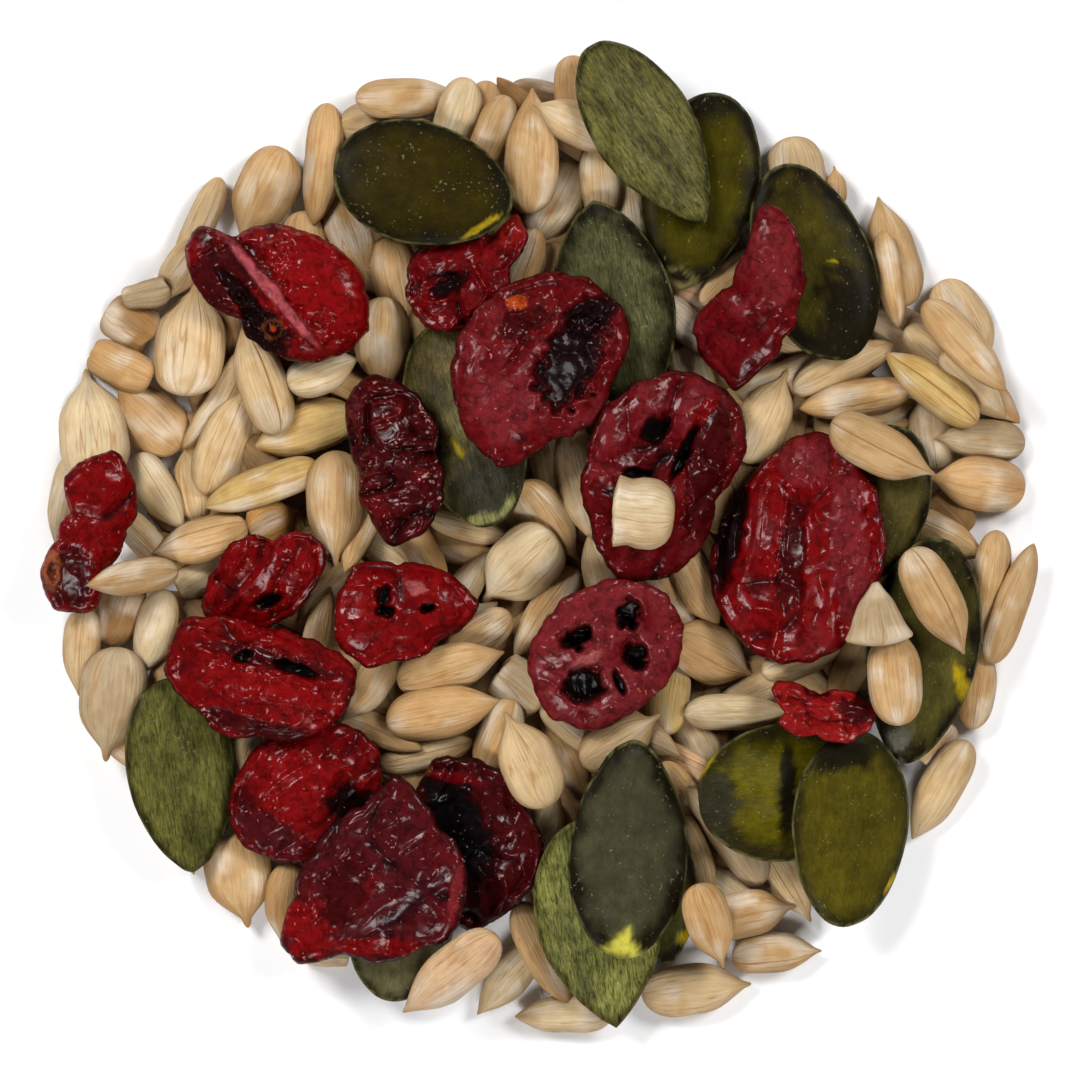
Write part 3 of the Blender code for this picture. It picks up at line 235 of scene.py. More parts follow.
# Cranberries: name, middle, thickness, and the outline read round the piece
CRANBERRIES = {
    "folded": ((-22.8, 22.4), 4.4, (
        (-30.9, 28.6), (-32.0, 26.1), (-30.9, 22.4), (-27.0, 19.9), (-22.9, 16.2), (-18.0, 16.6),
        (-15.5, 19.0), (-15.5, 22.2), (-17.6, 25.9), (-20.8, 27.8), (-27.5, 27.2))),
    "crumpled": ((-6.9, 23.4), 3.8, (
        (-11.9, 21.7), (-11.1, 26.1), (-4.2, 27.3), (-2.2, 30.0), (-1.1, 27.3), (-2.8, 24.5),
        (-3.0, 21.0), (-6.8, 19.0), (-10.4, 19.2))),
    "strip_right": ((19.0, 20.6), 3.2, (
        (19.9, 30.5), (22.2, 29.0), (23.6, 25.3), (23.2, 21.2), (21.8, 18.0), (19.5, 15.0),
        (17.5, 13.4), (15.6, 15.5), (13.7, 18.4), (14.4, 20.4), (17.4, 22.8), (18.6, 26.0))),
    "left_rim": ((-40.4, 0.6), 3.8, (
        (-38.6, 8.2), (-36.6, 6.0), (-36.3, 3.2), (-37.4, 0.8), (-39.3, -2.7), (-40.2, -6.5),
        (-43.6, -6.5), (-45.0, -2.5), (-43.4, 0.0), (-42.3, 2.5), (-42.8, 5.5), (-40.4, 7.5))),
    "oval_dark": ((-12.8, 7.2), 4.4, (
        (-15.2, 15.0), (-17.3, 12.9), (-17.1, 9.3), (-16.2, 6.1), (-15.5, 2.2), (-13.2, -0.6),
        (-10.2, 0.6), (-8.7, 4.2), (-9.3, 7.9), (-10.2, 12.0), (-12.5, 14.3))),
    "cup": ((0.4, 15.6), 3.8, (
        (3.4, 23.9), (7.9, 19.9), (8.2, 17.8), (6.3, 14.2), (5.4, 11.3), (0.8, 8.8), (-3.8, 6.5),
        (-6.1, 8.8), (-7.7, 12.7), (-6.5, 19.4), (-1.9, 23.3))),
    "twin_hollow": ((11.4, 5.6), 3.8, (
        (11.5, 15.1), (7.0, 13.0), (4.2, 7.0), (4.8, 0.5), (7.0, -3.8), (9.0, -3.8), (13.5, -2.0),
        (15.7, 3.5), (17.5, 5.5), (18.7, 9.0), (18.0, 12.0), (14.0, 15.0))),
    "big_oval": ((22.9, -0.8), 4.4, (
        (25.0, 9.8), (20.0, 7.0), (17.5, 3.0), (15.6, -1.0), (15.5, -4.0), (17.0, -8.0),
        (22.0, -11.2), (26.0, -10.3), (30.0, -4.5), (30.5, 2.8), (28.0, 8.0))),
    "square_left": ((-24.6, -3.4), 3.4, (
        (-27.8, -0.1), (-24.0, 0.0), (-20.4, 0.6), (-19.2, -0.4), (-20.8, -4.7), (-23.3, -7.0), (-30.5, -6.6),
        (-29.1, -2.4))),
    "heart": ((-12.8, -6.4), 3.6, (
        (-18.3, -6.0), (-16.5, -2.2), (-12.8, -2.4), (-8.0, -3.2), (-5.4, -5.8), (-9.0, -9.0),
        (-13.0, -11.0), (-16.0, -11.2), (-18.0, -9.5))),
    "lower_left": ((-21.2, -22.6), 4.2, (
        (-28.2, -24.8), (-26.6, -19.8), (-21.7, -17.5), (-17.8, -16.6), (-14.6, -18.9),
        (-15.5, -25.0), (-23.3, -29.2), (-26.6, -27.8))),
    "wide_left": ((-25.2, -12.2), 4.0, (
        (-33.9, -11.6), (-32.3, -7.3), (-28.0, -7.0), (-25.2, -7.9), (-21.6, -8.8), (-19.0, -9.6),
        (-16.2, -11.8), (-17.8, -15.8), (-25.5, -17.6), (-28.0, -17.8), (-31.0, -15.2))),
    "near_black": ((-5.8, -27.4), 3.4, (
        (-9.7, -19.7), (-6.5, -19.8), (-3.8, -20.5), (-1.9, -23.2), (-0.4, -25.5), (-0.6, -30.8),
        (-3.3, -34.0), (-6.5, -35.4), (-10.5, -31.0), (-11.5, -24.0))),
    "trapezoid": ((-14.2, -30.6), 3.4, (
        (-13.0, -21.0), (-9.2, -25.8), (-7.3, -27.5), (-6.5, -32.0), (-8.0, -36.0), (-10.4, -36.6),
        (-18.0, -37.4), (-21.8, -38.3), (-23.6, -36.5), (-22.0, -32.2), (-20.5, -28.0), (-16.0, -24.0))),
    "ring": ((6.0, -10.2), 2.8, (
        (-1.2, -11.0), (1.0, -6.5), (3.5, -4.5), (8.5, -3.7), (11.8, -5.2), (13.0, -8.0),
        (12.2, -11.5), (8.5, -15.3), (5.5, -17.0), (1.5, -16.3))),
    "torn_strip": ((25.4, -15.6), 2.0, (
        (20.7, -13.5), (21.4, -12.7), (24.1, -13.3), (25.2, -13.7), (27.0, -13.6), (29.3, -14.4),
        (30.1, -15.1), (29.9, -16.9), (28.4, -17.8), (24.8, -17.6), (22.7, -17.3), (21.4, -16.4),
        (22.1, -15.5))),
}

# The order in which seeds and cranberries come to lie, lowest first
TOPPING_ORDER = (
    "top_right_lower", "top_right_upper", "top_middle", "middle_left", "crumpled", "oval_dark", "cup",
    "top_left", "right_upper", "strip_right", "twin_hollow", "right_middle", "right_rim", "big_oval",
    "folded", "left_rim", "square_left", "heart", "left_lower", "lower_left", "wide_left", "near_black",
    "bottom_left", "trapezoid", "ring", "bottom_hidden", "bottom_lower", "bottom_upper",
    "lower_right_lower", "lower_right_upper", "torn_strip",
)

# Numbers along each side of the table that random hills and dips are read from
WAVE_TABLE = 64
# How sharply a patch ends
PATCH_SHARPNESS = 7.0
# Share of the way out beyond which a skin counts as its rim
RIM = 0.999
# How glossy a cranberry's moist skin is, and its dusty cut faces
MOIST = 1.0
DUSTY = 0.12
PATCH_GLOSS = {
    "dusty": DUSTY, "pink": DUSTY, "stem": DUSTY, "brown": DUSTY,
    "fold_edge": 0.4, "black": 0.4, "red_black": 0.45,
}

# Corners round and along each kind of piece
KERNEL_ROWS = 23
KERNEL_SIDES = 18
SEED_SPOKES = 72
SEED_RINGS = 20
BERRY_SPOKES = 240
BERRY_RINGS = 60
UNDER_RINGS = 8
BED_ROWS = 5
BED_SIDES = 8
# Hidden kernels in the bed: width and thickness, tilt, most to a square metre, and the bed's own edges
BED_KERNEL = (4.0, 2.0)
BED_TILT = 0.15
BED_DENSITY = 2.0e6
BED_EDGES = 48
# Directions in which a cranberry's outline is smoothed, and how many on each side of one count
EDGE_STEPS = 720
EDGE_SMOOTHING = 9
# First of the numbers from which the random draws of each kind of piece start
HEAP_NUMBER = 100
LOOSE_NUMBER = 400
SEED_NUMBER = 500
BERRY_NUMBER = 600
BED_NUMBER = 7

# Half the side of the floor in metres, then widths in mm: of the picture at the heap and of the sensor
FLOOR_REACH = 2.0
PICTURE_WIDTH = 97.2
SENSOR_WIDTH = 36.0
# Lights: side of each in metres, then name, place in metres and share of the power
LAMP_SIZE = 0.45
LAMPS = (
    ("left_light", (-0.75, 0.65, 0.95), 0.42), ("right_light", (0.8, 0.5, 0.95), 0.3),
    ("near_light", (-0.1, -0.95, 0.9), 0.28),
)

# sRGB colours of the kernels: common ones, uncommon ones, and those of lines and ends
KERNEL_TINTS = {
    "cream": "#ccb086", "tan": "#c19e70", "warm": "#c49d6b", "pale": "#d1bb95", "grey": "#ad9878",
    "yellow": "#c2a468", "pink": "#cba884", "orange": "#bf8f50", "brown": "#8f6c42", "dark": "#6f5536",
    "white": "#e4d5c0", "seam": "#b27d40", "line": "#a97434", "tip": "#ab7f44",
}
COMMON_TONES = ("cream", "cream", "tan", "tan", "tan", "warm", "warm", "grey", "pale")
# Kernels of an uncommon colour, by their blunt end
KERNEL_TONES = {
    (-1.0, 40.6): "dark", (0.8, 36.5): "brown", (1.6, 37.2): "dark", (-28.0, 21.0): "brown",
    (-39.4, 20.9): "brown", (-39.3, -9.6): "brown", (1.2, 5.2): "grey", (13.3, -16.4): "grey",
    (-3.9, -11.6): "grey", (31.0, 19.8): "grey", (11.6, 22.9): "pink", (11.0, -19.6): "pink",
    (-20.0, 6.7): "yellow", (-16.8, 11.4): "yellow", (39.5, 10.6): "yellow", (11.2, -17.7): "yellow",
    (-26.3, 0.6): "orange", (12.2, 20.3): "white", (35.4, 4.2): "brown", (-3.8, -35.4): "pink",
    (6.2, 2.6): "pale", (30.6, -9.5): "grey", (36.0, 6.3): "grey", (32.3, -16.7): "tan",
}
# Sideways bend of the curved kernels in mm, by their blunt end
KERNEL_BENDS = {(-26.8, 17.0): 0.7, (-14.7, -11.0): 0.6, (20.2, -31.3): -0.6, (17.8, 13.2): -0.5}
# Broken kernels that are cut off at their first end, by that end
KERNEL_CUTS = {(6.2, 2.6), (-3.9, -11.6), (35.4, 4.2)}
# Kernels with a plain orange seam on top, by their blunt end: how far off the middle it runs
KERNEL_SEAMS = {(33.1, -0.8): 0.25, (39.5, 10.6): -0.1, (-23.6, 9.6): -0.3, (26.2, 10.6): 0.0}

# sRGB colours of the patches on seeds and of the cranberries
SKIN_TINTS = {
    # The near-black olive is the dark skin and nubs of some seeds, and painted shadow on others
    "black": "#050202", "jet": "#0b0607", "soot": "#171205", "ash": "#5c5a4c",
    "grey_dark": "#2e2a1a", "dark_olive": "#2a2508", "olive": "#4a4418", "yellow": "#a38a14",
    "chip": "#cac24c", "scar": "#8d876a", "mottled": "#6b6038", "flake": "#7c7a48",
    "red_black": "#120001", "deep_red": "#3c0002", "wine": "#5c0206", "crimson": "#6e0002",
    # The dusty pink is dust on the skin together with a painted sheen
    "bright_red": "#780103", "scarlet": "#84100f", "dusty": "#6e1c20", "pink": "#9a4a4a",
    "pale_pink": "#c08a80", "fold_edge": "#a4484e", "orange": "#a03a0e", "brown": "#5a2a12",
    "stem": "#8a4a2c", "purple": "#46080e",
}

# Pumpkin seeds: colour of the middle, of the rim, how far the rim's colour reaches in, how veined the skin
# is, and patches as x, y, half length, half width, turn in degrees, height in mm, colour
SEED_LOOKS = {
    "top_right_lower": ("#3e3701", "soot", 0.4, 0.25, (
        (12.6, 23.4, 1.6, 1.0, -20, 0.15, "mottled"), (12.6, 23.8, 1.0, 0.5, -15, 0.1, "soot"))),
    "top_right_upper": ("#5a562b", "dark_olive", 0.1, 0.9, ()),
    "top_middle": ("#4e4c2e", "soot", 0.36, 0.75, ()),
    "middle_left": ("#544a29", "dark_olive", 0.2, 0.7, (
        (-4.4, 4.4, 4.0, 3.6, 80, -0.15, "grey_dark"), (-7.6, 10.6, 0.9, 1.8, 20, 0.15, "mottled"),
        (-8.4, 15.4, 1.2, 0.8, 30, 0.15, "mottled"), (-5.0, 1.9, 1.5, 0.5, 10, 0.12, "flake"),
        (-2.9, 3.0, 1.0, 0.4, 60, 0.12, "flake"), (-7.4, 8.2, 0.35, 1.1, 35, 0.1, "yellow"))),
    "top_left": ("#2d2400", "soot", 0.34, 0.2, ((-5.2, 28.2, 1.9, 0.3, 32, 0.0, "yellow"),)),
    "right_upper": ("#423a0c", "soot", 0.5, 0.3, (
        (28.4, 20.0, 5.2, 3.4, 100, 0.0, "soot"), (26.5, 25.2, 0.35, 0.22, 0, 0.0, "yellow"))),
    "right_middle": ("#514720", "soot", 0.3, 0.3, ()),
    "left_lower": ("#5b5929", "dark_olive", 0.16, 0.8, ()),
    "bottom_left": ("#5f5a3c", "dark_olive", 0.2, 0.3, ()),
    "bottom_hidden": ("#403e0b", "soot", 0.3, 0.3, ((13.1, -36.0, 0.8, 0.6, 0, 0.0, "yellow"),)),
    "bottom_lower": ("#76763c", "olive", 0.12, 1.0, ()),
    "bottom_upper": ("#3f3d29", "soot", 0.34, 0.15, ((7.5, -35.9, 1.4, 1.6, 80, -0.15, "chip"),)),
    # The near-black band of lower_right_lower along the upper seed's edge is a painted shadow of that seed
    "lower_right_lower": ("#574f02", "dark_olive", 0.36, 0.35, (
        (15.8, -23.8, 3.0, 2.2, 80, -0.1, "grey_dark"), (22.4, -22.5, 5.0, 0.8, 88, 0.0, "soot"),
        (15.2, -19.8, 1.7, 0.35, 60, 0.0, "yellow"))),
    # The near-black patch at the top end of lower_right_upper is painted shade
    "lower_right_upper": ("#4c440b", "dark_olive", 0.26, 0.3, (
        (26.4, -18.6, 3.6, 2.2, -10, 0.0, "soot"), (31.7, -31.0, 1.0, 0.2, 60, 0.0, "yellow"))),
    "right_rim": ("#4e481d", "soot", 0.36, 0.3, (
        (38.0, -12.7, 0.6, 1.8, 20, 0.0, "yellow"), (32.2, -18.2, 1.7, 1.0, 30, 0.0, "ash"))),
}

# Cranberries: colour of the creases and rim (painted shade), the skin and the ridges (painted highlight, and
# dust on the dusty ones), direction of the folds in degrees, how much longer than wide they are, their width
# in mm, their depth in mm, and patches as for the seeds
# Black patches sunk into hollows, holes and slits are painted shade, as are the sunken red-black hollows of
# the cup and the crumpled berry; the red-black middles of the stem scars are the scars' own colour
BERRY_LOOKS = {
    # folded: the red-black band beside the pale fold edge is painted shade on the fold's shadow side
    "folded": ("deep_red", "crimson", "bright_red", -50, 1.5, 6.0, 0.1, (
        (-28.6, 23.6, 2.6, 4.2, -50, -0.7, "deep_red"), (-25.0, 18.6, 3.0, 2.0, -30, -0.6, "red_black"),
        (-26.2, 21.2, 4.2, 0.9, -50, -0.7, "red_black"), (-18.4, 23.6, 6.6, 4.4, -50, 0.5, "bright_red"),
        (-24.1, 22.3, 6.2, 0.55, -50, 0.7, "fold_edge"), (-24.0, 19.0, 1.0, 0.9, 0, 0.3, "brown"),
        (-24.0, 19.0, 0.7, 0.6, 0, -0.1, "red_black"), (-24.0, 19.0, 0.3, 0.3, 0, 0.1, "orange"))),
    "crumpled": ("red_black", "wine", "crimson", 30, 1.3, 3.0, 0.9, (
        (-2.4, 28.0, 1.8, 1.4, 60, 0.1, "scarlet"), (-8.2, 23.0, 2.2, 0.9, 30, -0.6, "red_black"))),
    "strip_right": ("deep_red", "wine", "dusty", 60, 1.6, 4.0, 0.5, (
        (21.4, 24.6, 1.6, 3.6, 0, 0.1, "dusty"), (18.6, 12.4, 1.6, 0.7, -60, -0.3, "red_black"))),
    "left_rim": ("deep_red", "crimson", "bright_red", 80, 1.5, 3.8, 0.5, (
        (-42.6, -3.4, 2.0, 3.0, 0, -0.2, "deep_red"), (-44.0, -2.8, 0.9, 1.7, 0, 0.5, "stem"),
        (-43.9, -2.9, 0.4, 1.0, 0, -0.5, "brown"))),
    "oval_dark": ("red_black", "deep_red", "wine", 10, 1.5, 2.4, 0.9, ()),
    "cup": ("deep_red", "wine", "dusty", 60, 1.4, 4.0, 0.4, (
        (2.8, 16.0, 4.6, 2.6, 62, -1.1, "red_black"), (4.6, 20.2, 2.4, 1.6, 20, -0.6, "red_black"),
        (-1.5, 19.4, 2.4, 1.2, 20, -0.4, "deep_red"), (-2.1, 21.3, 0.9, 0.7, 0, 0.2, "orange"),
        (-3.4, 12.0, 2.6, 3.4, 20, 0.0, "dusty"))),
    "twin_hollow": ("red_black", "wine", "dusty", 60, 1.5, 4.0, 0.6, (
        (10.4, 9.9, 1.5, 1.0, 40, -1.3, "black"), (13.0, 8.0, 2.9, 0.5, 66, -1.3, "black"),
        (8.6, 5.9, 1.2, 0.5, 0, -1.0, "black"), (15.2, 6.6, 6.0, 1.7, 80, 0.7, "deep_red"),
        (14.8, 11.6, 1.8, 0.6, 50, 0.2, "crimson"))),
    # big_oval: the red-black band down its left side is painted shade where the dome falls away
    "big_oval": ("deep_red", "crimson", "dusty", 82, 1.7, 4.2, 0.9, (
        (17.2, 1.5, 6.5, 1.2, 80, -0.5, "red_black"), (27.8, -1.0, 7.5, 1.5, 95, 0.1, "dusty"),
        (24.0, 7.0, 2.4, 2.0, 0, 0.1, "dusty"), (22.6, -1.5, 5.0, 1.2, 85, -0.4, "deep_red"))),
    "square_left": ("deep_red", "crimson", "bright_red", 60, 1.4, 3.8, 0.7, (
        (-24.6, -5.6, 1.4, 0.7, 20, -1.0, "black"), (-22.4, -3.4, 0.8, 0.6, 0, 0.1, "dusty"))),
    "heart": ("deep_red", "crimson", "bright_red", 10, 1.6, 4.4, 0.5, (
        (-14.0, -5.0, 0.7, 0.9, 0, -1.2, "black"), (-13.9, -6.4, 0.9, 0.5, 0, -1.2, "black"),
        (-10.1, -6.1, 0.7, 0.5, 0, -1.1, "black"), (-11.2, -4.3, 1.0, 0.6, -20, 0.1, "pink"))),
    "lower_left": ("deep_red", "crimson", "bright_red", 40, 1.5, 3.8, 0.7, (
        (-22.6, -22.0, 3.0, 2.4, 30, 0.1, "bright_red"), (-17.0, -24.0, 2.4, 2.0, 0, -0.2, "red_black"),
        (-24.6, -26.4, 3.4, 1.6, -25, -0.3, "purple"))),
    # wide_left: the bright red band along the crest of its broad fold is painted highlight, and the deep red
    # bands in the valley above it and along its lower edge are painted shade
    "wide_left": ("deep_red", "crimson", "bright_red", -12, 1.8, 4.0, 0.6, (
        (-24.0, -10.8, 6.5, 0.8, -14, -0.4, "deep_red"), (-24.0, -13.6, 7.0, 1.3, -14, 0.4, "bright_red"),
        (-25.5, -16.9, 7.0, 0.9, -14, -0.2, "deep_red"),
        (-21.9, -11.6, 2.1, 0.55, -20, -1.2, "black"), (-26.6, -10.5, 1.0, 0.5, 20, -0.9, "black"))),
    "near_black": ("black", "deep_red", "deep_red", 60, 1.4, 3.0, 0.9, (
        (-7.4, -26.0, 5.4, 2.7, -65, -0.3, "jet"), (-7.6, -21.4, 3.0, 0.5, -10, 0.1, "wine"),
        (-10.9, -20.7, 1.1, 0.8, 10, 0.1, "brown"), (-10.9, -20.7, 0.5, 0.35, 10, -0.2, "red_black"))),
    "trapezoid": ("red_black", "purple", "wine", 40, 1.6, 3.8, 0.7, (
        (-21.0, -35.0, 2.4, 2.6, 0, 0.0, "bright_red"), (-14.6, -36.6, 5.0, 0.8, -3, 0.1, "crimson"),
        (-17.6, -31.6, 3.4, 2.0, 70, -0.3, "deep_red"), (-7.6, -31.6, 2.6, 0.5, 80, 0.1, "dusty"))),
    "ring": ("wine", "dusty", "dusty", 0, 1.0, 3.4, 0.25, (
        (8.0, -6.7, 1.1, 1.3, 0, -2.2, "black"), (3.3, -8.8, 1.4, 1.0, 20, -2.2, "black"),
        (8.6, -10.4, 1.1, 1.3, 20, -2.2, "black"), (4.0, -13.1, 1.7, 1.5, 0, -2.2, "black"),
        (7.1, -12.8, 0.4, 1.2, 20, -1.2, "red_black"), (4.2, -10.8, 1.5, 0.6, 25, 0.3, "pink"))),
    "torn_strip": ("deep_red", "scarlet", "scarlet", 0, 1.5, 2.6, 0.7, (
        (28.4, -15.4, 1.6, 1.2, -20, -0.2, "deep_red"),)),
}


class Piece:
    """One piece of the mix: a plan shape round a middle, with a body above and below its mid-plane."""

    def __init__(self, name, place, yaw, reach, slope_limit):
        self.name = name
        self.place = place
        self.yaw = yaw
        self.reach = reach
        self.slope_limit = slope_limit
        self.height = 0.0
        self.slope = (0.0, 0.0)

    def to_local(self, x, y):
        """The piece's own coordinates of points in plan."""
        cos, sin = math.cos(self.yaw), math.sin(self.yaw)
        dx, dy = x - self.place[0], y - self.place[1]
        return dx * cos + dy * sin, dy * cos - dx * sin

    def to_heap(self, u, v, w):
        """Corners in metres of points raised by w over the sloping mid-plane, none under the floor."""
        cos, sin = math.cos(self.yaw), math.sin(self.yaw)
        x = self.place[0] + u * cos - v * sin
        y = self.place[1] + u * sin + v * cos
        z = np.maximum(self.height + self.slope[0] * u + self.slope[1] * v + w, 0)
        return np.stack([x, y, z], axis=-1).reshape(-1, 3) * MM


class Kernel(Piece):
    """A sunflower kernel: a drop-shaped body, blunt at one end and pointed at the other."""

    def __init__(self, name, row):
        x0, y0, x1, y1, width, ends = row
        length = math.hypot(x1 - x0, y1 - y0)
        way = ((x1 - x0) / length, (y1 - y0) / length)
        hidden = 0.0 if ends in ("bt", "x", "c") else max(0.0, KERNEL_LENGTH - length)
        back = {"b": 0.0, "t": hidden}.get(ends, hidden / 2)
        ahead = hidden - back
        x0, y0 = x0 - way[0] * back, y0 - way[1] * back
        x1, y1 = x1 + way[0] * ahead, y1 + way[1] * ahead
        self.key = row[:2]
        self.length = length + hidden
        self.width = max(width, KERNEL_LEAST_WIDTH) if hidden else width
        self.thickness = KERNEL_THICKNESS[0] + KERNEL_THICKNESS[1] * self.width
        slenderness = (self.width / self.length - KERNEL_SLENDER) / (KERNEL_STOUT - KERNEL_SLENDER)
        self.stoutness = min(max(slenderness, 0.0), 1.0)
        self.broken = ends == "x"
        self.chip = ends == "c"
        if self.chip:
            self.thickness = CHIP_THICKNESS
        middle = ((x0 + x1) / 2, (y0 + y1) / 2)
        super().__init__(name, middle, math.atan2(way[1], way[0]), self.length / 2, KERNEL_TILT)

    def fullness(self, s):
        """Share of the full width at s, from 0 at the blunt end to 1 at the point."""
        if self.broken:
            return np.sqrt(np.clip(1 - np.abs(2 * s - 1) ** 3, 0, 1))
        if self.chip:
            return CHIP_FULLNESS * np.sqrt(np.clip(s / CHIP_BASE, 0, 1)) * (1 - s) ** CHIP_TAPER
        behind = np.clip((KERNEL_WIDEST - s) / KERNEL_WIDEST, 0, 1)
        blunt = np.sqrt(1 - behind ** KERNEL_BLUNTNESS)
        along = np.clip((s - KERNEL_WIDEST) / (1 - KERNEL_WIDEST), 0, 1)
        necked = 0.5 + 0.5 * np.cos(math.pi * along ** KERNEL_NECK)
        rounded = (1 - along ** KERNEL_ROUNDNESS[0]) ** KERNEL_ROUNDNESS[1]
        taper = self.stoutness * necked + (1 - self.stoutness) * rounded
        nib = KERNEL_NIB * np.sqrt(1 - along ** 8)
        return np.where(s < KERNEL_WIDEST, blunt, np.maximum(taper, nib))

    def body(self, u, v):
        """Whether each point is inside, and the body's depth below and height above the mid-plane."""
        share = self.fullness(np.clip(u / self.length + 0.5, 0, 1))
        half = np.maximum(self.width / 2 * share, 1e-6)
        inside = (np.abs(u) < self.length / 2) & (np.abs(v) < half)
        rise = self.thickness / 2 * share ** 0.7 * np.sqrt(np.clip(1 - (v / half) ** 2, 0, 1))
        return inside, rise, rise


class PumpkinSeed(Piece):
    """A hulled pumpkin seed: a flat lens with a rounded rim, more or less pointed at its other end."""

    def __init__(self, name, row):
        x0, y0, x1, y1, self.width, self.ending = row
        self.length = math.hypot(x1 - x0, y1 - y0)
        yaw = math.atan2(y1 - y0, x1 - x0)
        super().__init__(name, ((x0 + x1) / 2, (y0 + y1) / 2), yaw, self.length / 2, TOPPING_TILT)

    def fullness(self, s):
        """Share of the full width at s, from 0 at the blunt end to 1 at the other end."""
        behind = np.clip((SEED_WIDEST - s) / SEED_WIDEST, 0, 1)
        blunt = np.sqrt(1 - behind ** SEED_BLUNTNESS)
        along = np.clip((s - SEED_WIDEST) / (1 - SEED_WIDEST), 0, 1)
        return np.where(s < SEED_WIDEST, blunt, (1 - along ** SEED_TAPER) ** self.ending)

    def body(self, u, v):
        share = self.fullness(np.clip(u / self.length + 0.5, 0, 1))
        half = np.maximum(self.width / 2 * share, 1e-6)
        inside = (np.abs(u) < self.length / 2) & (np.abs(v) < half)
        rim = np.clip(1 - (np.abs(v) / half) ** SEED_RIM[0], 0, 1) ** SEED_RIM[1]
        rise = SEED_THICKNESS / 2 * rim * share ** 0.45
        return inside, rise, rise


class Cranberry(Piece):
    """A dried cranberry: an uneven outline round a middle, domed above and below."""

    def __init__(self, name, row):
        middle, self.thickness, outline = row
        points = np.array(outline) - np.array(middle)
        angles = np.arctan2(points[:, 1], points[:, 0])
        order = np.argsort(angles)
        self.angles = angles[order]
        self.radii = np.hypot(points[:, 0], points[:, 1])[order]
        super().__init__(name, middle, 0.0, self.radii.max(), TOPPING_TILT)

    def edge(self, angle):
        """How far the outline reaches in a direction."""
        return np.interp(angle, self.angles, self.radii, period=2 * math.pi)

    def rim(self, share):
        return np.clip(1 - share ** BERRY_RIM[0], 0, 1) ** BERRY_RIM[1]

    def body(self, u, v):
        share = np.hypot(u, v) / self.edge(np.arctan2(v, u))
        rise = self.rim(share) * self.thickness / 2
        return share < 1, rise, rise


def cell_middles(piece):
    """The grid's cells round a piece, as a pair of slices and the plan coordinates of their middles."""
    low = [int((c - piece.reach - 1 + SPAN) / CELL) for c in piece.place]
    high = [int((c + piece.reach + 1 + SPAN) / CELL) for c in piece.place]
    box = (slice(low[0], high[0]), slice(low[1], high[1]))
    x = (np.arange(low[0], high[0]) + 0.5) * CELL - SPAN
    y = (np.arange(low[1], high[1]) + 0.5) * CELL - SPAN
    return box, np.meshgrid(x, y, indexing="ij")


def widen(heights):
    """Each cell takes the greatest height of the cells next to it."""
    padded = np.pad(heights, 1, constant_values=-1.0)
    rows, columns = heights.shape
    moves = [padded[i:i + rows, j:j + columns] for i in range(3) for j in range(3)]
    return np.max(moves, axis=0)


def lowest_lie(piece, u, v, depth, need):
    """The height and slopes at which the piece's middle lies lowest without going below what it needs."""
    best = (math.inf, 0.0, 0.0)
    step = piece.slope_limit / SLOPE_STEPS
    while step > FINEST_SLOPE:
        _, along, across = best
        steps = np.arange(-SLOPE_STEPS, SLOPE_STEPS + 1) * step
        slopes = np.array([(along + i, across + j) for i in steps for j in steps])
        slopes = np.clip(slopes, -piece.slope_limit, piece.slope_limit)
        lift = need[None, :] + depth[None, :] - slopes[:, :1] * u - slopes[:, 1:] * v
        heights = lift.max(axis=1)
        pick = int(heights.argmin())
        if heights[pick] < best[0]:
            best = (heights[pick], slopes[pick, 0], slopes[pick, 1])
        step /= SLOPE_REFINING
    return best


def settle(piece, fused, loose, joins):
    """Lays a piece on the grid. One that joins the core sinks into it a little, any other keeps a gap."""
    box, (x, y) = cell_middles(piece)
    u, v = piece.to_local(x, y)
    inside, depth, rise = piece.body(u, v)
    if joins:
        need = np.maximum(fused[box] - SINK, loose[box] + GAP)
    else:
        need = np.maximum(widen(fused[box]), loose[box]) + GAP
    need = np.maximum(need, FLOOR_GAP)[inside]
    height, along, across = lowest_lie(piece, u[inside], v[inside], depth[inside], need)
    piece.height, piece.slope = height, (along, across)
    top = np.where(inside, height + along * u + across * v + rise, -1.0)
    if joins:
        fused[box] = np.maximum(fused[box], top)
    else:
        loose[box] = np.maximum(loose[box], widen(top))


def plan_reach(pieces):
    """How far the pieces reach from the middle in each of the core's directions."""
    covered = np.zeros((CELLS, CELLS), bool)
    for piece in pieces:
        box, (x, y) = cell_middles(piece)
        covered[box] |= piece.body(*piece.to_local(x, y))[0]
    steps = np.arange(HEAP_REACH, HEAP_LEAST_REACH, -CELL)
    reaches = []
    for sector in range(CORE_SECTORS):
        angle = 2 * math.pi * sector / CORE_SECTORS
        column = ((steps * math.cos(angle) + SPAN) / CELL).astype(int)
        row = ((steps * math.sin(angle) + SPAN) / CELL).astype(int)
        hit = covered[column, row]
        reaches.append(steps[hit.argmax()] - CORE_INSET)
    return np.minimum(reaches, np.minimum(np.roll(reaches, 1), np.roll(reaches, -1)) + EDGE_STEP)


def core_height(distance):
    """Height of the core's top at a distance from its middle."""
    share = np.clip(distance / MOUND_REACH, 0, 1)
    return PLATE_HEIGHT + (MOUND_HEIGHT - PLATE_HEIGHT) * (1 - share ** 2) ** 1.2


def core_grid(reaches):
    """The core's heights on the grid."""
    middles = (np.arange(CELLS) + 0.5) * CELL - SPAN
    x, y = np.meshgrid(middles, middles, indexing="ij")
    angles = np.arange(CORE_SECTORS) * 2 * math.pi / CORE_SECTORS
    edge = np.interp(np.arctan2(y, x), angles, reaches, period=2 * math.pi)
    distance = np.hypot(x, y)
    return np.where(distance < edge, core_height(distance), 0.0)


